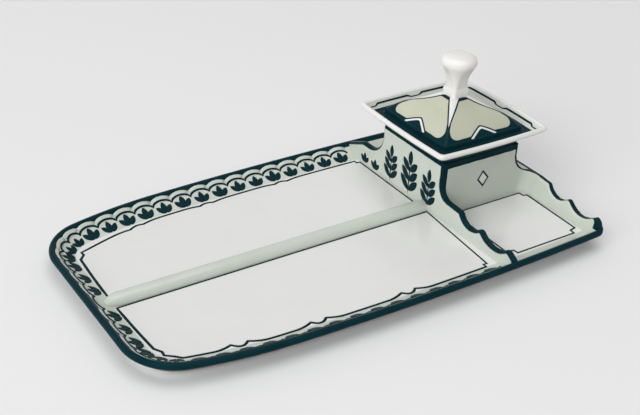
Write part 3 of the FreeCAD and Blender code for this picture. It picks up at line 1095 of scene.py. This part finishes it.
@dataclass(frozen=True)
class WallEnamel:
    """The painting of the walls: celadon faces, dark edges, a dark band under the lid and a diamond."""

    fin_middle: float = 76.3
    fin_reach: float = 2.25
    fin_waver: float = 0.4
    left_face: float = 74.8
    band_low: float = 38.6
    band_rise: float = 2.4
    flare_x: float = 148.4
    flare_z: float = 35.0
    flare_radius: float = 14.0
    flare_line: float = 1.9
    ledge: float = 21.0
    ledge_lap: float = 0.4
    edge_low: float = 11.0
    inner_lean: float = 0.147
    inner_foot: float = 143.2
    outer_lean: float = 0.267
    outer_foot: float = 144.9
    outer_x: float = 149.0
    end_start: float = 73.0
    end_run: float = 7.0
    end_swell: float = 2.0
    tower_front: float = -14.4
    tower_back: float = 46.1
    tower_lap: float = 0.3
    figure_lap: float = 0.5
    figure_from: float = 90.0
    figure_to: float = 120.0
    diamond_x: float = 107.8
    diamond_z: float = 24.7
    diamond_half: float = 4.7
    diamond_tall: float = 6.2
    diamond_line: float = 0.68
    diamond_lean: float = -0.12
    diamond_blur: float = 0.06
    brush: float = 220.0
    coat: float = 0.35

    def build(self) -> bpy.types.Material:
        """Return the material."""
        celadon, teal, white = Finish.CELADON.value, Finish.TEAL.value, Finish.PORCELAIN.value
        sheet = ShaderSheet("wall_enamel")
        waver = sheet.waver(self.brush)
        x, y, z = sheet.x, sheet.y, sheet.z
        fin = (self.fin_reach - abs(x - self.fin_middle) + waver * self.fin_waver).over(0.0)
        left = 1.0 - x.over(self.left_face)
        band = (z + waver).over(left * self.band_rise + self.band_low)
        inner = z * self.inner_lean + self.inner_foot
        outer = (z * self.outer_lean + self.outer_foot).least(self.outer_x)
        swell = ((abs(y) - self.end_start) / self.end_run).most(0.0).least(1.0) * self.end_swell
        edge = (x - inner + swell).over(0.0) * (outer - x).over(0.0) * z.over(self.edge_low)
        edge = edge * (1.0 - z.over(self.ledge + self.ledge_lap))
        drop = (self.flare_z - z).most(0.0)
        flare = self.flare_x - (self.flare_radius**2 - drop * drop).most(0.0).root()
        behind = (y - self.tower_back + self.tower_lap).over(0.0)
        beside = (self.tower_front + self.tower_lap - y).over(0.0).most(behind)
        hem = (x - flare + self.flare_line + waver).over(0.0) * z.over(self.ledge) * beside
        lozenge = abs(x - self.diamond_x - (z - self.diamond_z) * self.diamond_lean) / self.diamond_half
        lozenge = lozenge + abs(z - self.diamond_z) / self.diamond_tall
        front = (self.tower_front + self.figure_lap - y).over(0.0)
        front = front * x.over(self.figure_from) * (1.0 - x.over(self.figure_to))
        figure = front * (1.0 - lozenge.over(1.0, self.diamond_blur))
        heart = front * (1.0 - lozenge.over(self.diamond_line, self.diamond_blur))
        dark = fin.most(band).most(edge).most(hem).most(figure)
        colour = sheet.mix(dark, celadon.spread(sheet), teal.spread(sheet))
        colour = sheet.mix(heart, colour, white.spread(sheet))
        return sheet.seal(colour, celadon.shine(sheet), (1.0 - dark) * self.coat, teal)


@dataclass
class TowerWalls:
    """The two wave-edged cross walls and the tower between them, run together as glaze does."""

    nodes: dict[str, bpy.types.Object]
    names: tuple[str, ...] = ("inner_wave_wall", "outer_wave_wall", "tower_front_wall", "tower_back_wall")
    voxel: float = 0.62 * MM
    sink: float = 1.5 * MM
    tuck: float = 0.6 * MM
    ease: float = 0.5
    passes: int = 6

    def copies(self, name: str) -> list[Vector]:
        """Return the moves of a wall's copies, which sink it into the dish and into its neighbours."""
        down = Vector((0, 0, -self.sink))
        if name == "outer_wave_wall":
            return [Vector(), down + Vector((-self.tuck, 0, 0))]
        if name == "inner_wave_wall":
            return [Vector(), down]
        aside = Vector((self.tuck, 0, 0))
        return [Vector(), down, aside, -aside]

    def build(self) -> bpy.types.Object:
        """Return the walls as one smooth piece with rounded edges."""
        joined = bmesh.new()
        for name in self.names:
            source = self.nodes[name]
            for move in self.copies(name):
                part = source.data.copy()
                part.transform(Matrix.Translation(move) @ source.matrix_world)
                joined.from_mesh(part)
                bpy.data.meshes.remove(part)
        mesh = bpy.data.meshes.new("tower_walls_glazed")
        joined.to_mesh(mesh)
        joined.free()
        rough = link("tower_walls_rough", mesh)
        remesh = rough.modifiers.new("voxels", "REMESH")
        remesh.mode = "VOXEL"
        remesh.voxel_size = self.voxel
        smooth = rough.modifiers.new("glaze", "SMOOTH")
        smooth.factor = self.ease
        smooth.iterations = self.passes
        finished = bake(rough)
        finished.materials.clear()
        finished.materials.append(WallEnamel().build())
        finished.shade_smooth()
        walls = link("tower_walls_glazed", finished)
        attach(walls, "tray")
        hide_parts(*self.names)
        return walls


@dataclass
class Cushion:
    """Squares with bowed sides and rounded corners about the tower's axis."""

    axis: Flat
    full_half: float
    side_radius: float = 660 * MM
    side_steps: int = 24
    corner_steps: int = 8

    def row(self, half: float, corner: float, height: float) -> Row:
        """Return one bowed square.

        Args:
            half: Half its width across the middle of its sides.
            corner: Its corner radius.
            height: Where it lies.

        Returns:
            Its points, in turn about the axis.
        """
        bow = self.side_radius - (self.full_half - half)
        shift = bow - half
        reach = bow - corner
        diagonal = (math.sqrt(2 * reach**2 - shift**2) - shift) / 2
        swing = math.atan2(diagonal, diagonal + shift)
        points: Row = []
        for quarter in range(4):
            turn = quarter * math.pi / 2
            spin = Matrix.Rotation(turn, 2)
            side = arc((-shift, 0), bow, -swing, swing, self.side_steps)[:-1]
            knuckle = arc((diagonal, diagonal), corner, swing, math.pi / 2 - swing, self.corner_steps)[:-1]
            for spot in side + knuckle:
                flat = spin @ Vector(spot)
                points.append(Vector((self.axis[0] + flat.x, self.axis[1] + flat.y, height)))
        return points


@dataclass
class SquaredRound:
    """Squares with rounded corners that grow into circles, about the tower's axis."""

    axis: Flat
    count: int = 96

    def row(self, half: float, corner: float, height: float) -> Row:
        """Return one rounded square, a circle where the corner is as large as the half width."""
        flat = half - corner
        points: Row = []
        for i in range(self.count):
            turn = 2 * math.pi * i / self.count
            ahead = Vector((math.cos(turn), math.sin(turn)))
            long, short = sorted((abs(ahead.x), abs(ahead.y)), reverse=True)
            reach = half / long
            if reach * short > flat:
                middle = flat * (long + short)
                reach = middle + math.sqrt(max(middle**2 - 2 * flat**2 + corner**2, 0.0))
            points.append(Vector((self.axis[0] + reach * ahead.x, self.axis[1] + reach * ahead.y, height)))
        return points


@dataclass
class InkPot:
    """The ink pot: a round cup under a square flange that rests on the tower's rim."""

    palette: Palette
    low: Vector
    high: Vector
    radius: float = 23.25 * MM
    bore: float = 19.75 * MM
    base: float = 3.5 * MM
    flange: float = 2.5 * MM
    corner: float = 6 * MM
    bevel: float = 5 * MM
    edge: float = 0.6 * MM
    edge_cut: float = 0.3
    edge_steps: int = 4
    bevel_steps: int = 6

    def build(self) -> bpy.types.Object:
        """Return the pot."""
        shape = SquaredRound(box_axis(self.low, self.high))
        half = (self.high.x - self.low.x) / 2
        low, top = self.low.z, self.high.z
        under = top - self.flange
        floor = low + self.base
        edge, bevel = self.edge, self.bevel
        cut = self.edge_cut * edge
        outside = [(self.radius - bevel, low)]
        outside += arc((self.radius - bevel, low + bevel), bevel, -math.pi / 2, 0, self.bevel_steps)[1:]
        outside += [(self.radius, under - edge), (self.radius, under)]
        flange = [
            (half - edge, under),
            (half, under + edge),
            (half, top - edge),
            (half - cut, top - cut),
            (half - edge, top),
        ]
        inside = [(self.bore + edge, top)]
        inside += arc((self.bore + edge, top - edge), edge, math.pi / 2, math.pi, self.edge_steps)[1:]
        inside += [(self.bore, floor + bevel)]
        inside += arc((self.bore - bevel, floor + bevel), bevel, 0, -math.pi / 2, self.bevel_steps)[1:]
        levels = [(radius, radius, height) for radius, height in outside]
        levels += [(size, self.corner, height) for size, height in flange]
        levels += [(radius, radius, height) for radius, height in inside]
        rows = [(shape.row(*level), Finish.PORCELAIN) for level in levels]
        pot = lofted("ink_pot_glazed", rows, self.palette)
        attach(pot, "pot")
        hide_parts("ink_pot")
        return pot


@dataclass(frozen=True)
class RoofEnamel:
    """The painting of the lid's roof: a pale rounded panel on each side, white hips by the knob."""

    axis_x: float
    axis_y: float
    eave: float = 29.0
    hip_margin: float = 1.2
    round: float = 6.4
    notch_deep: float = 4.6
    notch_half: float = 9.6
    notch_round: float = 1.0
    trim_gap: float = 1.4
    trim_half: float = 0.55
    wedge_width: float = 2.7
    wedge_start: float = 6.0
    wedge_length: float = 15.5
    wedge_line: float = 1.0
    wedge_least: float = 0.05
    crown: float = 8.2
    brush: float = 200.0
    coat: float = 0.3

    def build(self) -> bpy.types.Material:
        """Return the material."""
        teal, cream, white = Finish.TEAL.value, Finish.CREAM.value, Finish.PORCELAIN.value
        sheet = ShaderSheet("roof_enamel")
        waver = sheet.waver(self.brush)
        across = abs(sheet.x - self.axis_x)
        along = abs(sheet.y - self.axis_y)
        out = across.most(along)
        aside = across.least(along)
        hip = (out - aside) * math.sqrt(0.5)
        middle = (aside * aside + self.notch_round**2).root()
        peak = (1.0 - middle / self.notch_half).most(0.0) * self.notch_deep
        wedge = (1.0 - (out - self.wedge_start) / self.wedge_length).most(0.0) * self.wedge_width
        margin = wedge + self.wedge_line
        from_hip = self.round - (hip - margin.most(self.hip_margin)).least(self.round)
        from_eave = self.round - (self.eave - out).least(self.round)
        panel = (self.round - (from_hip * from_hip + from_eave * from_eave).root() + waver).over(0.0)
        panel = panel * out.over(self.crown) * (self.eave - peak - out).over(0.0)
        foot = abs(out + peak - self.eave - self.trim_gap)
        trim = (self.trim_half - foot).over(0.0) * (self.notch_half - aside).over(0.0)
        blank = (wedge - hip).over(0.0) * wedge.over(self.wedge_least)
        colour = sheet.mix(panel, teal.spread(sheet), cream.spread(sheet))
        colour = sheet.mix(blank.most(trim), colour, white.spread(sheet))
        return sheet.seal(colour, teal.shine(sheet), panel * self.coat, teal)


@dataclass
class Lid:
    """The lid: a flared dish with an upturned lip, and a bell-shaped roof in its middle."""

    palette: Palette
    low: Vector
    high: Vector
    corner: float = 3 * MM
    ring: float = 30.25 * MM
    ring_wall: float = 2.2 * MM
    ring_height: float = 3.4 * MM
    lip_under: float = 9.6 * MM
    lip_thick: float = 3.2 * MM
    lip_rise: float = 3.8 * MM
    slope_run: float = 3.6 * MM
    trough_deep: float = 4.8 * MM
    roof_half: float = 31.5 * MM
    roof_corner: float = 2.4 * MM
    eave_step: float = 1.2 * MM
    eave_height: float = 3.4 * MM
    roof_top_half: float = 6.9 * MM
    shell: float = 4 * MM
    flare_shares: tuple[Flat, ...] = ((0, 0), (0.12, 0.34), (0.5, 0.72), (1, 1))
    roof_shares: tuple[Flat, ...] = ((0, 0), (0.18, 0.26), (0.45, 0.54), (0.75, 0.75), (1, 1))
    edge: float = 0.4 * MM
    flare_foot: float = 0.2
    flare_stripe: Flat = (0.42, 0.52)
    slope_knee: Flat = (0.4, 0.62)
    eave_shares: tuple[Flat, ...] = ((0.0, 0.62), (0.15, 0.85), (0.55, 1.0))
    curve_steps: int = 5
    roof_steps: int = 6
    lip_steps: int = 14
    lip_start: float = -math.pi / 3
    dark_levels: int = 2
    bead: EnamelLine = EnamelLine(0.85 * MM, 0.42 * MM)
    line_depth: float = 0.7 * MM
    line_step: float = 1.3 * MM
    line_fall: Flat = (0.62, 0.85)
    line_corner: float = 0.9
    line_middle: float = 0.1

    def __post_init__(self) -> None:
        """Work out the levels from the lid's box."""
        self.half = (self.high.x - self.low.x) / 2
        self.axis = box_axis(self.low, self.high)
        self.base = self.low.z
        self.roof_top = self.high.z
        self.lip_top = self.base + self.lip_under + self.lip_rise
        self.trough = self.lip_top - self.trough_deep
        self.eave_top = self.trough + self.eave_height
        self.form = Cushion(self.axis, self.half)
        self.lip_half = self.half - self.lip_thick

    def levels(self) -> list[tuple[float, float, float, Finish]]:
        """Return (half, corner, height, finish) from the hollow's top, under the ring, out and over."""
        white, teal, celadon = Finish.PORCELAIN, Finish.TEAL, Finish.CELADON
        edge = self.edge
        inner = self.ring - self.ring_wall
        levels = [
            (self.roof_top_half, self.roof_corner, self.roof_top - self.shell, white),
            (self.roof_half - self.eave_step - self.shell, self.roof_corner, self.trough, white),
            (inner, self.roof_corner, self.base + self.ring_height, white),
            (inner, self.roof_corner, self.base + edge, white),
            (inner + edge, self.roof_corner, self.base, white),
            (self.ring - edge, self.corner, self.base, teal),
        ]
        lip = self.lip_thick / 2
        overhang = self.half - lip - self.ring
        stripe_low, stripe_high = self.flare_stripe
        for share, rise in smooth_curve(self.flare_shares, self.curve_steps)[1:]:
            finish = teal if rise < self.flare_foot or stripe_low < rise < stripe_high else white
            height = self.base + rise * self.lip_under
            levels.append((self.ring + share * overhang, self.corner, height, finish))
        roll = arc((self.half - lip, self.lip_top - lip), lip, self.lip_start, math.pi, self.lip_steps)
        levels += [(half, self.corner, height, white) for half, height in roll]
        slope_half = self.lip_half - self.slope_run
        knee_in, knee_down = self.slope_knee
        slope = smooth_curve([
            (self.lip_half, self.lip_top - lip),
            (self.lip_half - knee_in * self.slope_run, self.lip_top - knee_down * self.trough_deep),
            (slope_half, self.trough),
        ], self.curve_steps)
        levels += [(half, self.corner, height, celadon) for half, height in slope[1:-self.dark_levels]]
        levels += [(half, self.corner, height, teal) for half, height in slope[-self.dark_levels:]]
        eave_half = self.roof_half - self.eave_step
        eave = [(self.roof_half + edge, self.trough), (self.roof_half, self.trough + edge)]
        for back, up in self.eave_shares:
            eave.append((self.roof_half - back * self.eave_step, self.trough + up * self.eave_height))
        levels += [(half, self.roof_corner, height, teal) for half, height in eave]
        run = eave_half - self.roof_top_half
        rise = self.roof_top - self.eave_top
        for share, up in smooth_curve(self.roof_shares, self.roof_steps):
            height = self.eave_top + up * rise
            levels.append((eave_half - share * run, self.roof_corner, height, Finish.CREAM))
        return levels

    def build(self) -> list[bpy.types.Object]:
        """Return the lid and the dark line round its inner slope."""
        rows = [(self.form.row(*level), finish) for *level, finish in self.levels()]
        lid = lofted("lid_glazed", rows, self.palette, crease=50.0)
        roof = RoofEnamel(self.axis[0] / MM, self.axis[1] / MM).build()
        slots = lid.data.materials
        slots[slots.find(Finish.CREAM.value.name)] = roof
        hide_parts("lid")
        line = self.bead.draw("lid_line", [self.line()], self.palette[Finish.TEAL])
        for piece in (lid, line):
            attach(piece, "lid")
        return [lid, line]

    def line(self) -> Row:
        """Return the line near the top of the slope, stepped down at corners and by each side's middle."""
        path: Row = []
        lip = self.lip_top - self.lip_thick / 2
        fall_in, fall_down = self.line_fall
        count = len(self.form.row(self.lip_half, self.corner, lip))
        quarter = count // 4
        side = self.form.side_steps
        for i in range(count):
            place = i % quarter
            away = abs(place - side / 2) / (side / 2)
            stepped = place >= side or away > self.line_corner or away < self.line_middle
            depth = self.line_depth + (self.line_step if stepped else 0)
            row = self.form.row(self.lip_half - fall_in * depth, self.corner, lip - fall_down * depth)
            path.append(row[i])
        return path


@dataclass
class Knob:
    """The knob: a square foot, a waisted neck that grows round and a domed head."""

    palette: Palette
    low: Vector
    high: Vector
    foot: tuple[Level, ...] = mm((5.9, 1.4, 0.0), (5.9, 1.4, 4.3), (5.6, 1.5, 4.9), (5.1, 1.6, 5.3))
    neck: tuple[Level, ...] = mm(
        (5.1, 1.6, 5.4),
        (5.2, 2.2, 7.6),
        (5.8, 3.2, 10.8),
        (7.0, 4.8, 14.2),
        (8.8, 7.2, 17.4),
        (10.5, 9.8, 20.0),
        (11.1, 11.0, 22.0),
        (10.6, 10.6, 24.0),
        (8.4, 8.4, 25.6),
        (4.6, 4.6, 26.5),
        (0.3, 0.3, 26.75),
    )
    neck_steps: int = 4

    def build(self) -> bpy.types.Object:
        """Return the knob, its white painted lighter than the tray's porcelain as painted light."""
        shape = SquaredRound(box_axis(self.low, self.high))
        rows = []
        for half, corner, rise in [*self.foot, *smooth_curve(self.neck, self.neck_steps)]:
            # The knob wears the lighter porcelain white, which is painted light.
            rows.append((shape.row(half, min(corner, half), self.low.z + rise), Finish.BRIGHT))
        knob = lofted("lid_knob_glazed", rows, self.palette, crease=60.0)
        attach(knob, "lid")
        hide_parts("lid_knob")
        return knob


@dataclass
class TrayOrnament:
    """What is painted on the tray: panel lines, the sprigs of the sloped border and of the tower's face."""

    palette: Palette
    plan: TrayPlan
    section: RimSection
    panels: FloorPanels
    sprig_inset: float = 14.4 * MM
    sprig_size: float = 1.08
    front_inset: float = 12.2 * MM
    front_size: float = 0.82
    corner_size: float = 0.84
    straight_share: float = 0.96
    scallop_high: float = 5.6 * MM
    scallop_low: float = 8.2 * MM
    shell_inset: float = 5.3 * MM
    shell_width: float = 4.6 * MM
    shell_crown: float = 0.06 * MM
    panel_bead: EnamelLine = EnamelLine()
    scallop_bead: EnamelLine = EnamelLine(0.9 * MM, 0.55 * MM)
    border_pitch: float = 13.2 * MM
    border_end: float = 70 * MM
    end_gap: float = 0.01 * MM
    nose_gap: float = 9 * MM
    face_x: float = 73.9 * MM
    face_foot: float = 7.8 * MM
    sprig_strokes: tuple[Petal, ...] = (
        Petal(-0.3 * MM, 0, -40, 6.8 * MM, 3.5 * MM),
        Petal(0.3 * MM, 0, 40, 6.8 * MM, 3.5 * MM),
        Petal(0, 0.4 * MM, 0, 7.4 * MM, 3.7 * MM),
    )
    stem: tuple[Petal, ...] = (
        Petal(0, 0, 0, 20 * MM, 1.3 * MM),
        Petal(0, 19 * MM, 0, 10 * MM, 4.4 * MM),
    )
    leaves: tuple[Flat, ...] = mm((2.5, 11.4), (8.9, 10.5), (15.3, 9.6))
    leaf_part: float = 0.3 * MM
    leaf_lean: float = 42.0
    leaf_width: float = 4.8 * MM
    sprays: tuple[Flat, ...] = ((15.85 * MM, 1.02), (-3.4 * MM, 0.92), (35.1 * MM, 0.92))
    sprigs: tuple[Flat, ...] = ((51.5 * MM, 0.9), (63.0 * MM, 0.9))

    def lines(self) -> bpy.types.Object:
        """Return the dark outlines of the floor panels."""
        floor = self.section.floor
        paths = [[Vector((x, y, floor)) for x, y in outline] for outline in self.panels.outlines()]
        return self.panel_bead.draw("panel_lines", paths, self.palette[Finish.TEAL])

    def path(self) -> tuple[list[Vector], list[Vector], int]:
        """Return points of the rim, the way in at each, and the count of border repeats.

        Returns:
            The outer edge from the cross wall round the left end and back, at even steps of a
            sixteenth of a repeat, the inward direction at each point, and how many repeats there are.
        """
        half = self.plan.back_side(0, self.border_end)
        rim = [Vector(point) for point in half + [(x, -y) for x, y in reversed(half[:-1])]]
        lengths = [0.0]
        for start, end in zip(rim, rim[1:]):
            lengths.append(lengths[-1] + (end - start).length)
        repeats = round(lengths[-1] / self.border_pitch)
        steps = repeats * SCALLOP_STEPS
        points, inward = [], []
        for step in range(steps + 1):
            travel = min(step / steps * lengths[-1], lengths[-1] - self.end_gap)
            place = next(k for k, length in enumerate(lengths) if length > travel)
            start, end = rim[place - 1], rim[place]
            points.append(start.lerp(end, (travel - lengths[place - 1]) / (end - start).length))
            along = (end - start).normalized()
            inward.append(Vector((-along.y, along.x)))
        return points, inward, repeats

    def on_slope(self, spot: Vector, inward: Vector, inset: float) -> Vector:
        """Return the point of the sloped side at an inset from a point of the rim."""
        flat = spot + inward * inset
        return Vector((flat.x, flat.y, self.section.height_at(inset)))

    def border(self, dish: bpy.types.Object) -> list[bpy.types.Object]:
        """Return the sprigs along the inner slope, the scalloped line over them and the shells above."""
        points, inward, repeats = self.path()
        scallops = []
        spots = []
        shells = []
        for step, (spot, way) in enumerate(zip(points, inward)):
            swell = abs(math.sin(math.pi * step / SCALLOP_STEPS))
            inset = self.scallop_low + (self.scallop_high - self.scallop_low) * math.sqrt(swell)
            scallops.append(self.on_slope(spot, way, inset))
        for repeat in range(repeats):
            step = repeat * SCALLOP_STEPS + SCALLOP_STEPS // 2
            spot, way = points[step], inward[step]
            if spot.x < 0 and abs(spot.y) < self.nose_gap:
                continue
            front = way.y > self.straight_share
            corner = max(abs(way.x), abs(way.y)) < self.straight_share
            size = self.front_size if front else self.corner_size if corner else self.sprig_size
            low = self.on_slope(spot, way, self.front_inset if front else self.sprig_inset)
            up = (self.on_slope(spot, way, self.scallop_high) - low).normalized()
            side = Vector((-way.y, way.x, 0))
            frame = Matrix((side, up, side.cross(up))).transposed().to_4x4()
            frame.translation = low
            spots.append((frame, size))
            frame = frame.copy()
            frame.translation = self.on_slope(spot, way, self.shell_inset)
            shells.append((frame, 1.0))
        pitch = self.border_pitch
        stroke = Petal(-pitch / 2, 0, lean=90, length=pitch, width=self.shell_width)
        shell = Motif("border_shell", (stroke,), crown=self.shell_crown)
        teal = self.palette[Finish.TEAL]
        line = self.scallop_bead.draw("border_scallops", [scallops], teal, closed=False)
        return [
            MotifRow(jitter=0.0).lay("border_shells", shells, shell, dish, self.palette[Finish.CELADON]),
            MotifRow().lay("border_sprigs", spots, self.sprig(), dish, teal),
            line,
        ]

    def spray(self) -> Motif:
        """Return the upright figure of the tower's face: a stem, a tip and three pairs of leaves."""
        petals = list(self.stem)
        for foot, length in self.leaves:
            for side in (-1, 1):
                lean = self.leaf_lean * side
                petals.append(Petal(self.leaf_part * side, foot, lean, length, self.leaf_width))
        return Motif("tower_spray", petals)

    def sprig(self) -> Motif:
        """Return the three-leaved figure of the border."""
        return Motif("border_sprig", self.sprig_strokes)

    def face(self, walls: bpy.types.Object) -> list[bpy.types.Object]:
        """Return the three sprays on the tower's left face and the sprigs behind them."""
        teal = self.palette[Finish.TEAL]
        groups = (
            ("tower_sprays", self.sprays, self.spray()),
            ("wall_sprigs", self.sprigs, self.sprig()),
        )
        return [
            MotifRow().lay(name, [self.on_face(*spot) for spot in spots], motif, walls, teal)
            for name, spots, motif in groups
        ]

    def on_face(self, y: float, size: float) -> tuple[Matrix, float]:
        """Return an upright frame at the foot of the cross wall's left face, and a size."""
        frame = Matrix((Vector((0, -1, 0)), Vector((0, 0, 1)), Vector((-1, 0, 0)))).transposed().to_4x4()
        frame.translation = Vector((self.face_x, y, self.face_foot))
        return frame, size

    def build(self, dish: bpy.types.Object, walls: bpy.types.Object) -> list[bpy.types.Object]:
        """Return every painted piece of the tray."""
        pieces = [self.lines(), *self.border(dish), *self.face(walls)]
        for piece in pieces:
            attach(piece, "tray")
        return pieces


@dataclass(frozen=True)
class SoftLight:
    """A square soft light that faces the object.

    Args:
        name: The name of the lamp.
        place: Where its middle hangs, in metres.
        size: The length of its side, in metres.
        power: Its power, in watts.
        mirrored: Whether the glaze shows its image.
    """

    name: str
    place: tuple[float, float, float]
    size: float
    power: float
    mirrored: bool

    def hang(self) -> None:
        """Add the lamp to the stage."""
        data = bpy.data.lights.new(self.name, "AREA")
        data.size = self.size
        data.energy = self.power
        lamp = bpy.data.objects.new(self.name, data)
        lamp.location = self.place
        lamp.rotation_euler = Vector(self.place).to_track_quat("Z", "Y").to_euler()
        lamp.visible_glossy = self.mirrored
        bpy.context.scene.collection.objects.link(lamp)


@dataclass
class Studio:
    """The pale floor, the soft light and the camera of the photograph."""

    azimuth: float = -34.555
    elevation: float = 30.677
    roll: float = 3.073
    centre: tuple[float, float, float] = (-0.322354, -0.463354, 0.361507)
    sensor: float = 36.0
    focal_pixels: float = 1130.85
    picture_width: int = 640
    near_clip: float = 0.01
    floor_grey: Colour = srgb(237, 237, 237)
    floor_roughness: float = 0.9
    reach: float = 12.0
    backdrop: float = 0.78
    fade_middle: float = 1.05
    fade_run: float = 1.1
    room: float = 0.38
    room_white: Colour = srgb(255, 255, 255)
    dim_side: tuple[float, float, float] = (0.5, -0.86, 0.0)
    dimming: float = 0.45
    lights: tuple[SoftLight, ...] = (
        SoftLight("key", (-2.75, -1.1, 1.65), 2.6, 78.0, False),
        SoftLight("overhead", (0.0, -0.2, 3.1), 2.6, 34.0, True),
    )

    def build(self) -> None:
        """Set up the stage."""
        self.floor()
        self.light()
        self.camera()

    def view_axes(self) -> tuple[Vector, Vector, Vector]:
        """Return the camera's right, up and backward directions."""
        turn, tilt, roll = (math.radians(angle) for angle in (self.azimuth, self.elevation, self.roll))
        back = Vector((math.sin(turn) * math.cos(tilt), -math.cos(turn) * math.cos(tilt), math.sin(tilt)))
        right = Vector((math.cos(turn), math.sin(turn), 0))
        up = back.cross(right)
        return (
            right * math.cos(roll) + up * math.sin(roll),
            up * math.cos(roll) - right * math.sin(roll),
            back,
        )

    def plain(self, sheet: NodeSheet) -> Tone:
        """Return a mask of the rays that show the plain backdrop: straight, mirrored or through glass."""
        rays = sheet.node("ShaderNodeLightPath", {}, {}).outputs
        straight = Tone(sheet, rays["Is Camera Ray"])
        return straight.most(rays["Is Glossy Ray"]).most(rays["Is Transmission Ray"])

    def floor(self) -> None:
        """Lay a plain pale floor that runs into the backdrop far from the object."""
        mesh = bpy.data.meshes.new("studio_floor")
        corners = [(-1, -1), (1, -1), (1, 1), (-1, 1)]
        mesh.from_pydata([(x * self.reach, y * self.reach, 0) for x, y in corners], [], [(0, 1, 2, 3)])
        sheet = ShaderSheet("studio_floor")
        matt = {"Base Color": self.floor_grey, "Roughness": self.floor_roughness}
        near = sheet.node("ShaderNodeBsdfPrincipled", {}, matt)
        far = sheet.node("ShaderNodeEmission", {}, {"Strength": self.backdrop})
        span = sheet.node("ShaderNodeVectorMath", {"operation": "LENGTH"}, {0: sheet.place})
        away = Tone(sheet, span.outputs["Value"])
        fade = away.over(self.fade_middle, self.fade_run) * self.plain(sheet)
        surface = sheet.node("ShaderNodeMixShader", {}, {0: fade, 1: near.outputs[0], 2: far.outputs[0]})
        sheet.node("ShaderNodeOutputMaterial", {}, {"Surface": surface.outputs[0]})
        mesh.materials.append(sheet.material)
        link("studio_floor", mesh)

    def light(self) -> None:
        """Hang a large soft light on the left and one above, in a pale room that is dimmer at the front."""
        world = bpy.data.worlds.new("room")
        bpy.context.scene.world = world
        world.use_nodes = True
        sheet = NodeSheet(world.node_tree)
        sheet.tree.nodes.clear()
        ways = {0: sheet.node("ShaderNodeTexCoord", {}, {}).outputs["Generated"], 1: self.dim_side}
        facing = sheet.node("ShaderNodeVectorMath", {"operation": "DOT_PRODUCT"}, ways)
        lit = self.room - Tone(sheet, facing.outputs["Value"]) * (self.dimming * self.room)
        seen = self.plain(sheet)
        strength = lit * (1.0 - seen) + seen * self.backdrop
        room = sheet.node("ShaderNodeBackground", {}, {"Color": self.room_white, "Strength": strength})
        sheet.node("ShaderNodeOutputWorld", {}, {"Surface": room.outputs[0]})
        for lamp in self.lights:
            lamp.hang()

    def camera(self) -> None:
        """Stand the camera where the photograph was taken from."""
        data = bpy.data.cameras.new("camera")
        data.sensor_fit = "HORIZONTAL"
        data.sensor_width = self.sensor
        data.lens = self.sensor * self.focal_pixels / self.picture_width
        data.clip_start = self.near_clip
        camera = bpy.data.objects.new("camera", data)
        camera.matrix_world = Matrix(self.view_axes()).transposed().to_4x4()
        camera.location = self.centre
        bpy.context.scene.collection.objects.link(camera)
        bpy.context.scene.camera = camera
        bpy.context.scene.view_settings.view_transform = "Standard"


def report(pieces: Iterable[bpy.types.Object]) -> None:
    """Log each piece with its count of faces."""
    for piece in pieces:
        LOG.info("%s: %d faces", piece.name, len(piece.data.polygons))


def main() -> None:
    """Build the inkstand piece by piece, dress it and set up the picture."""
    logging.basicConfig(level=logging.INFO, format="%(name)s: %(message)s")
    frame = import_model()
    palette = Palette()
    dish_low, dish_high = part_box("tray_dish")
    plan = TrayPlan(-dish_low.x, dish_high.y)
    section = RimSection(dish_high.z)
    panels = FloorPanels(plan)
    dish = TrayDish(palette, plan, section, panels).build()
    ridge = DividerRidge(palette, *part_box("divider_ridge")).build()
    walls = TowerWalls(frame["nodes"]).build()
    report([dish, ridge, walls])
    report(TrayOrnament(palette, plan, section, panels).build(dish, walls))
    report([InkPot(palette, *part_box("ink_pot")).build()])
    report(Lid(palette, *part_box("lid")).build())
    report([Knob(palette, *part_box("lid_knob")).build()])
    Studio().build()


if __name__ == "__main__":
    main()
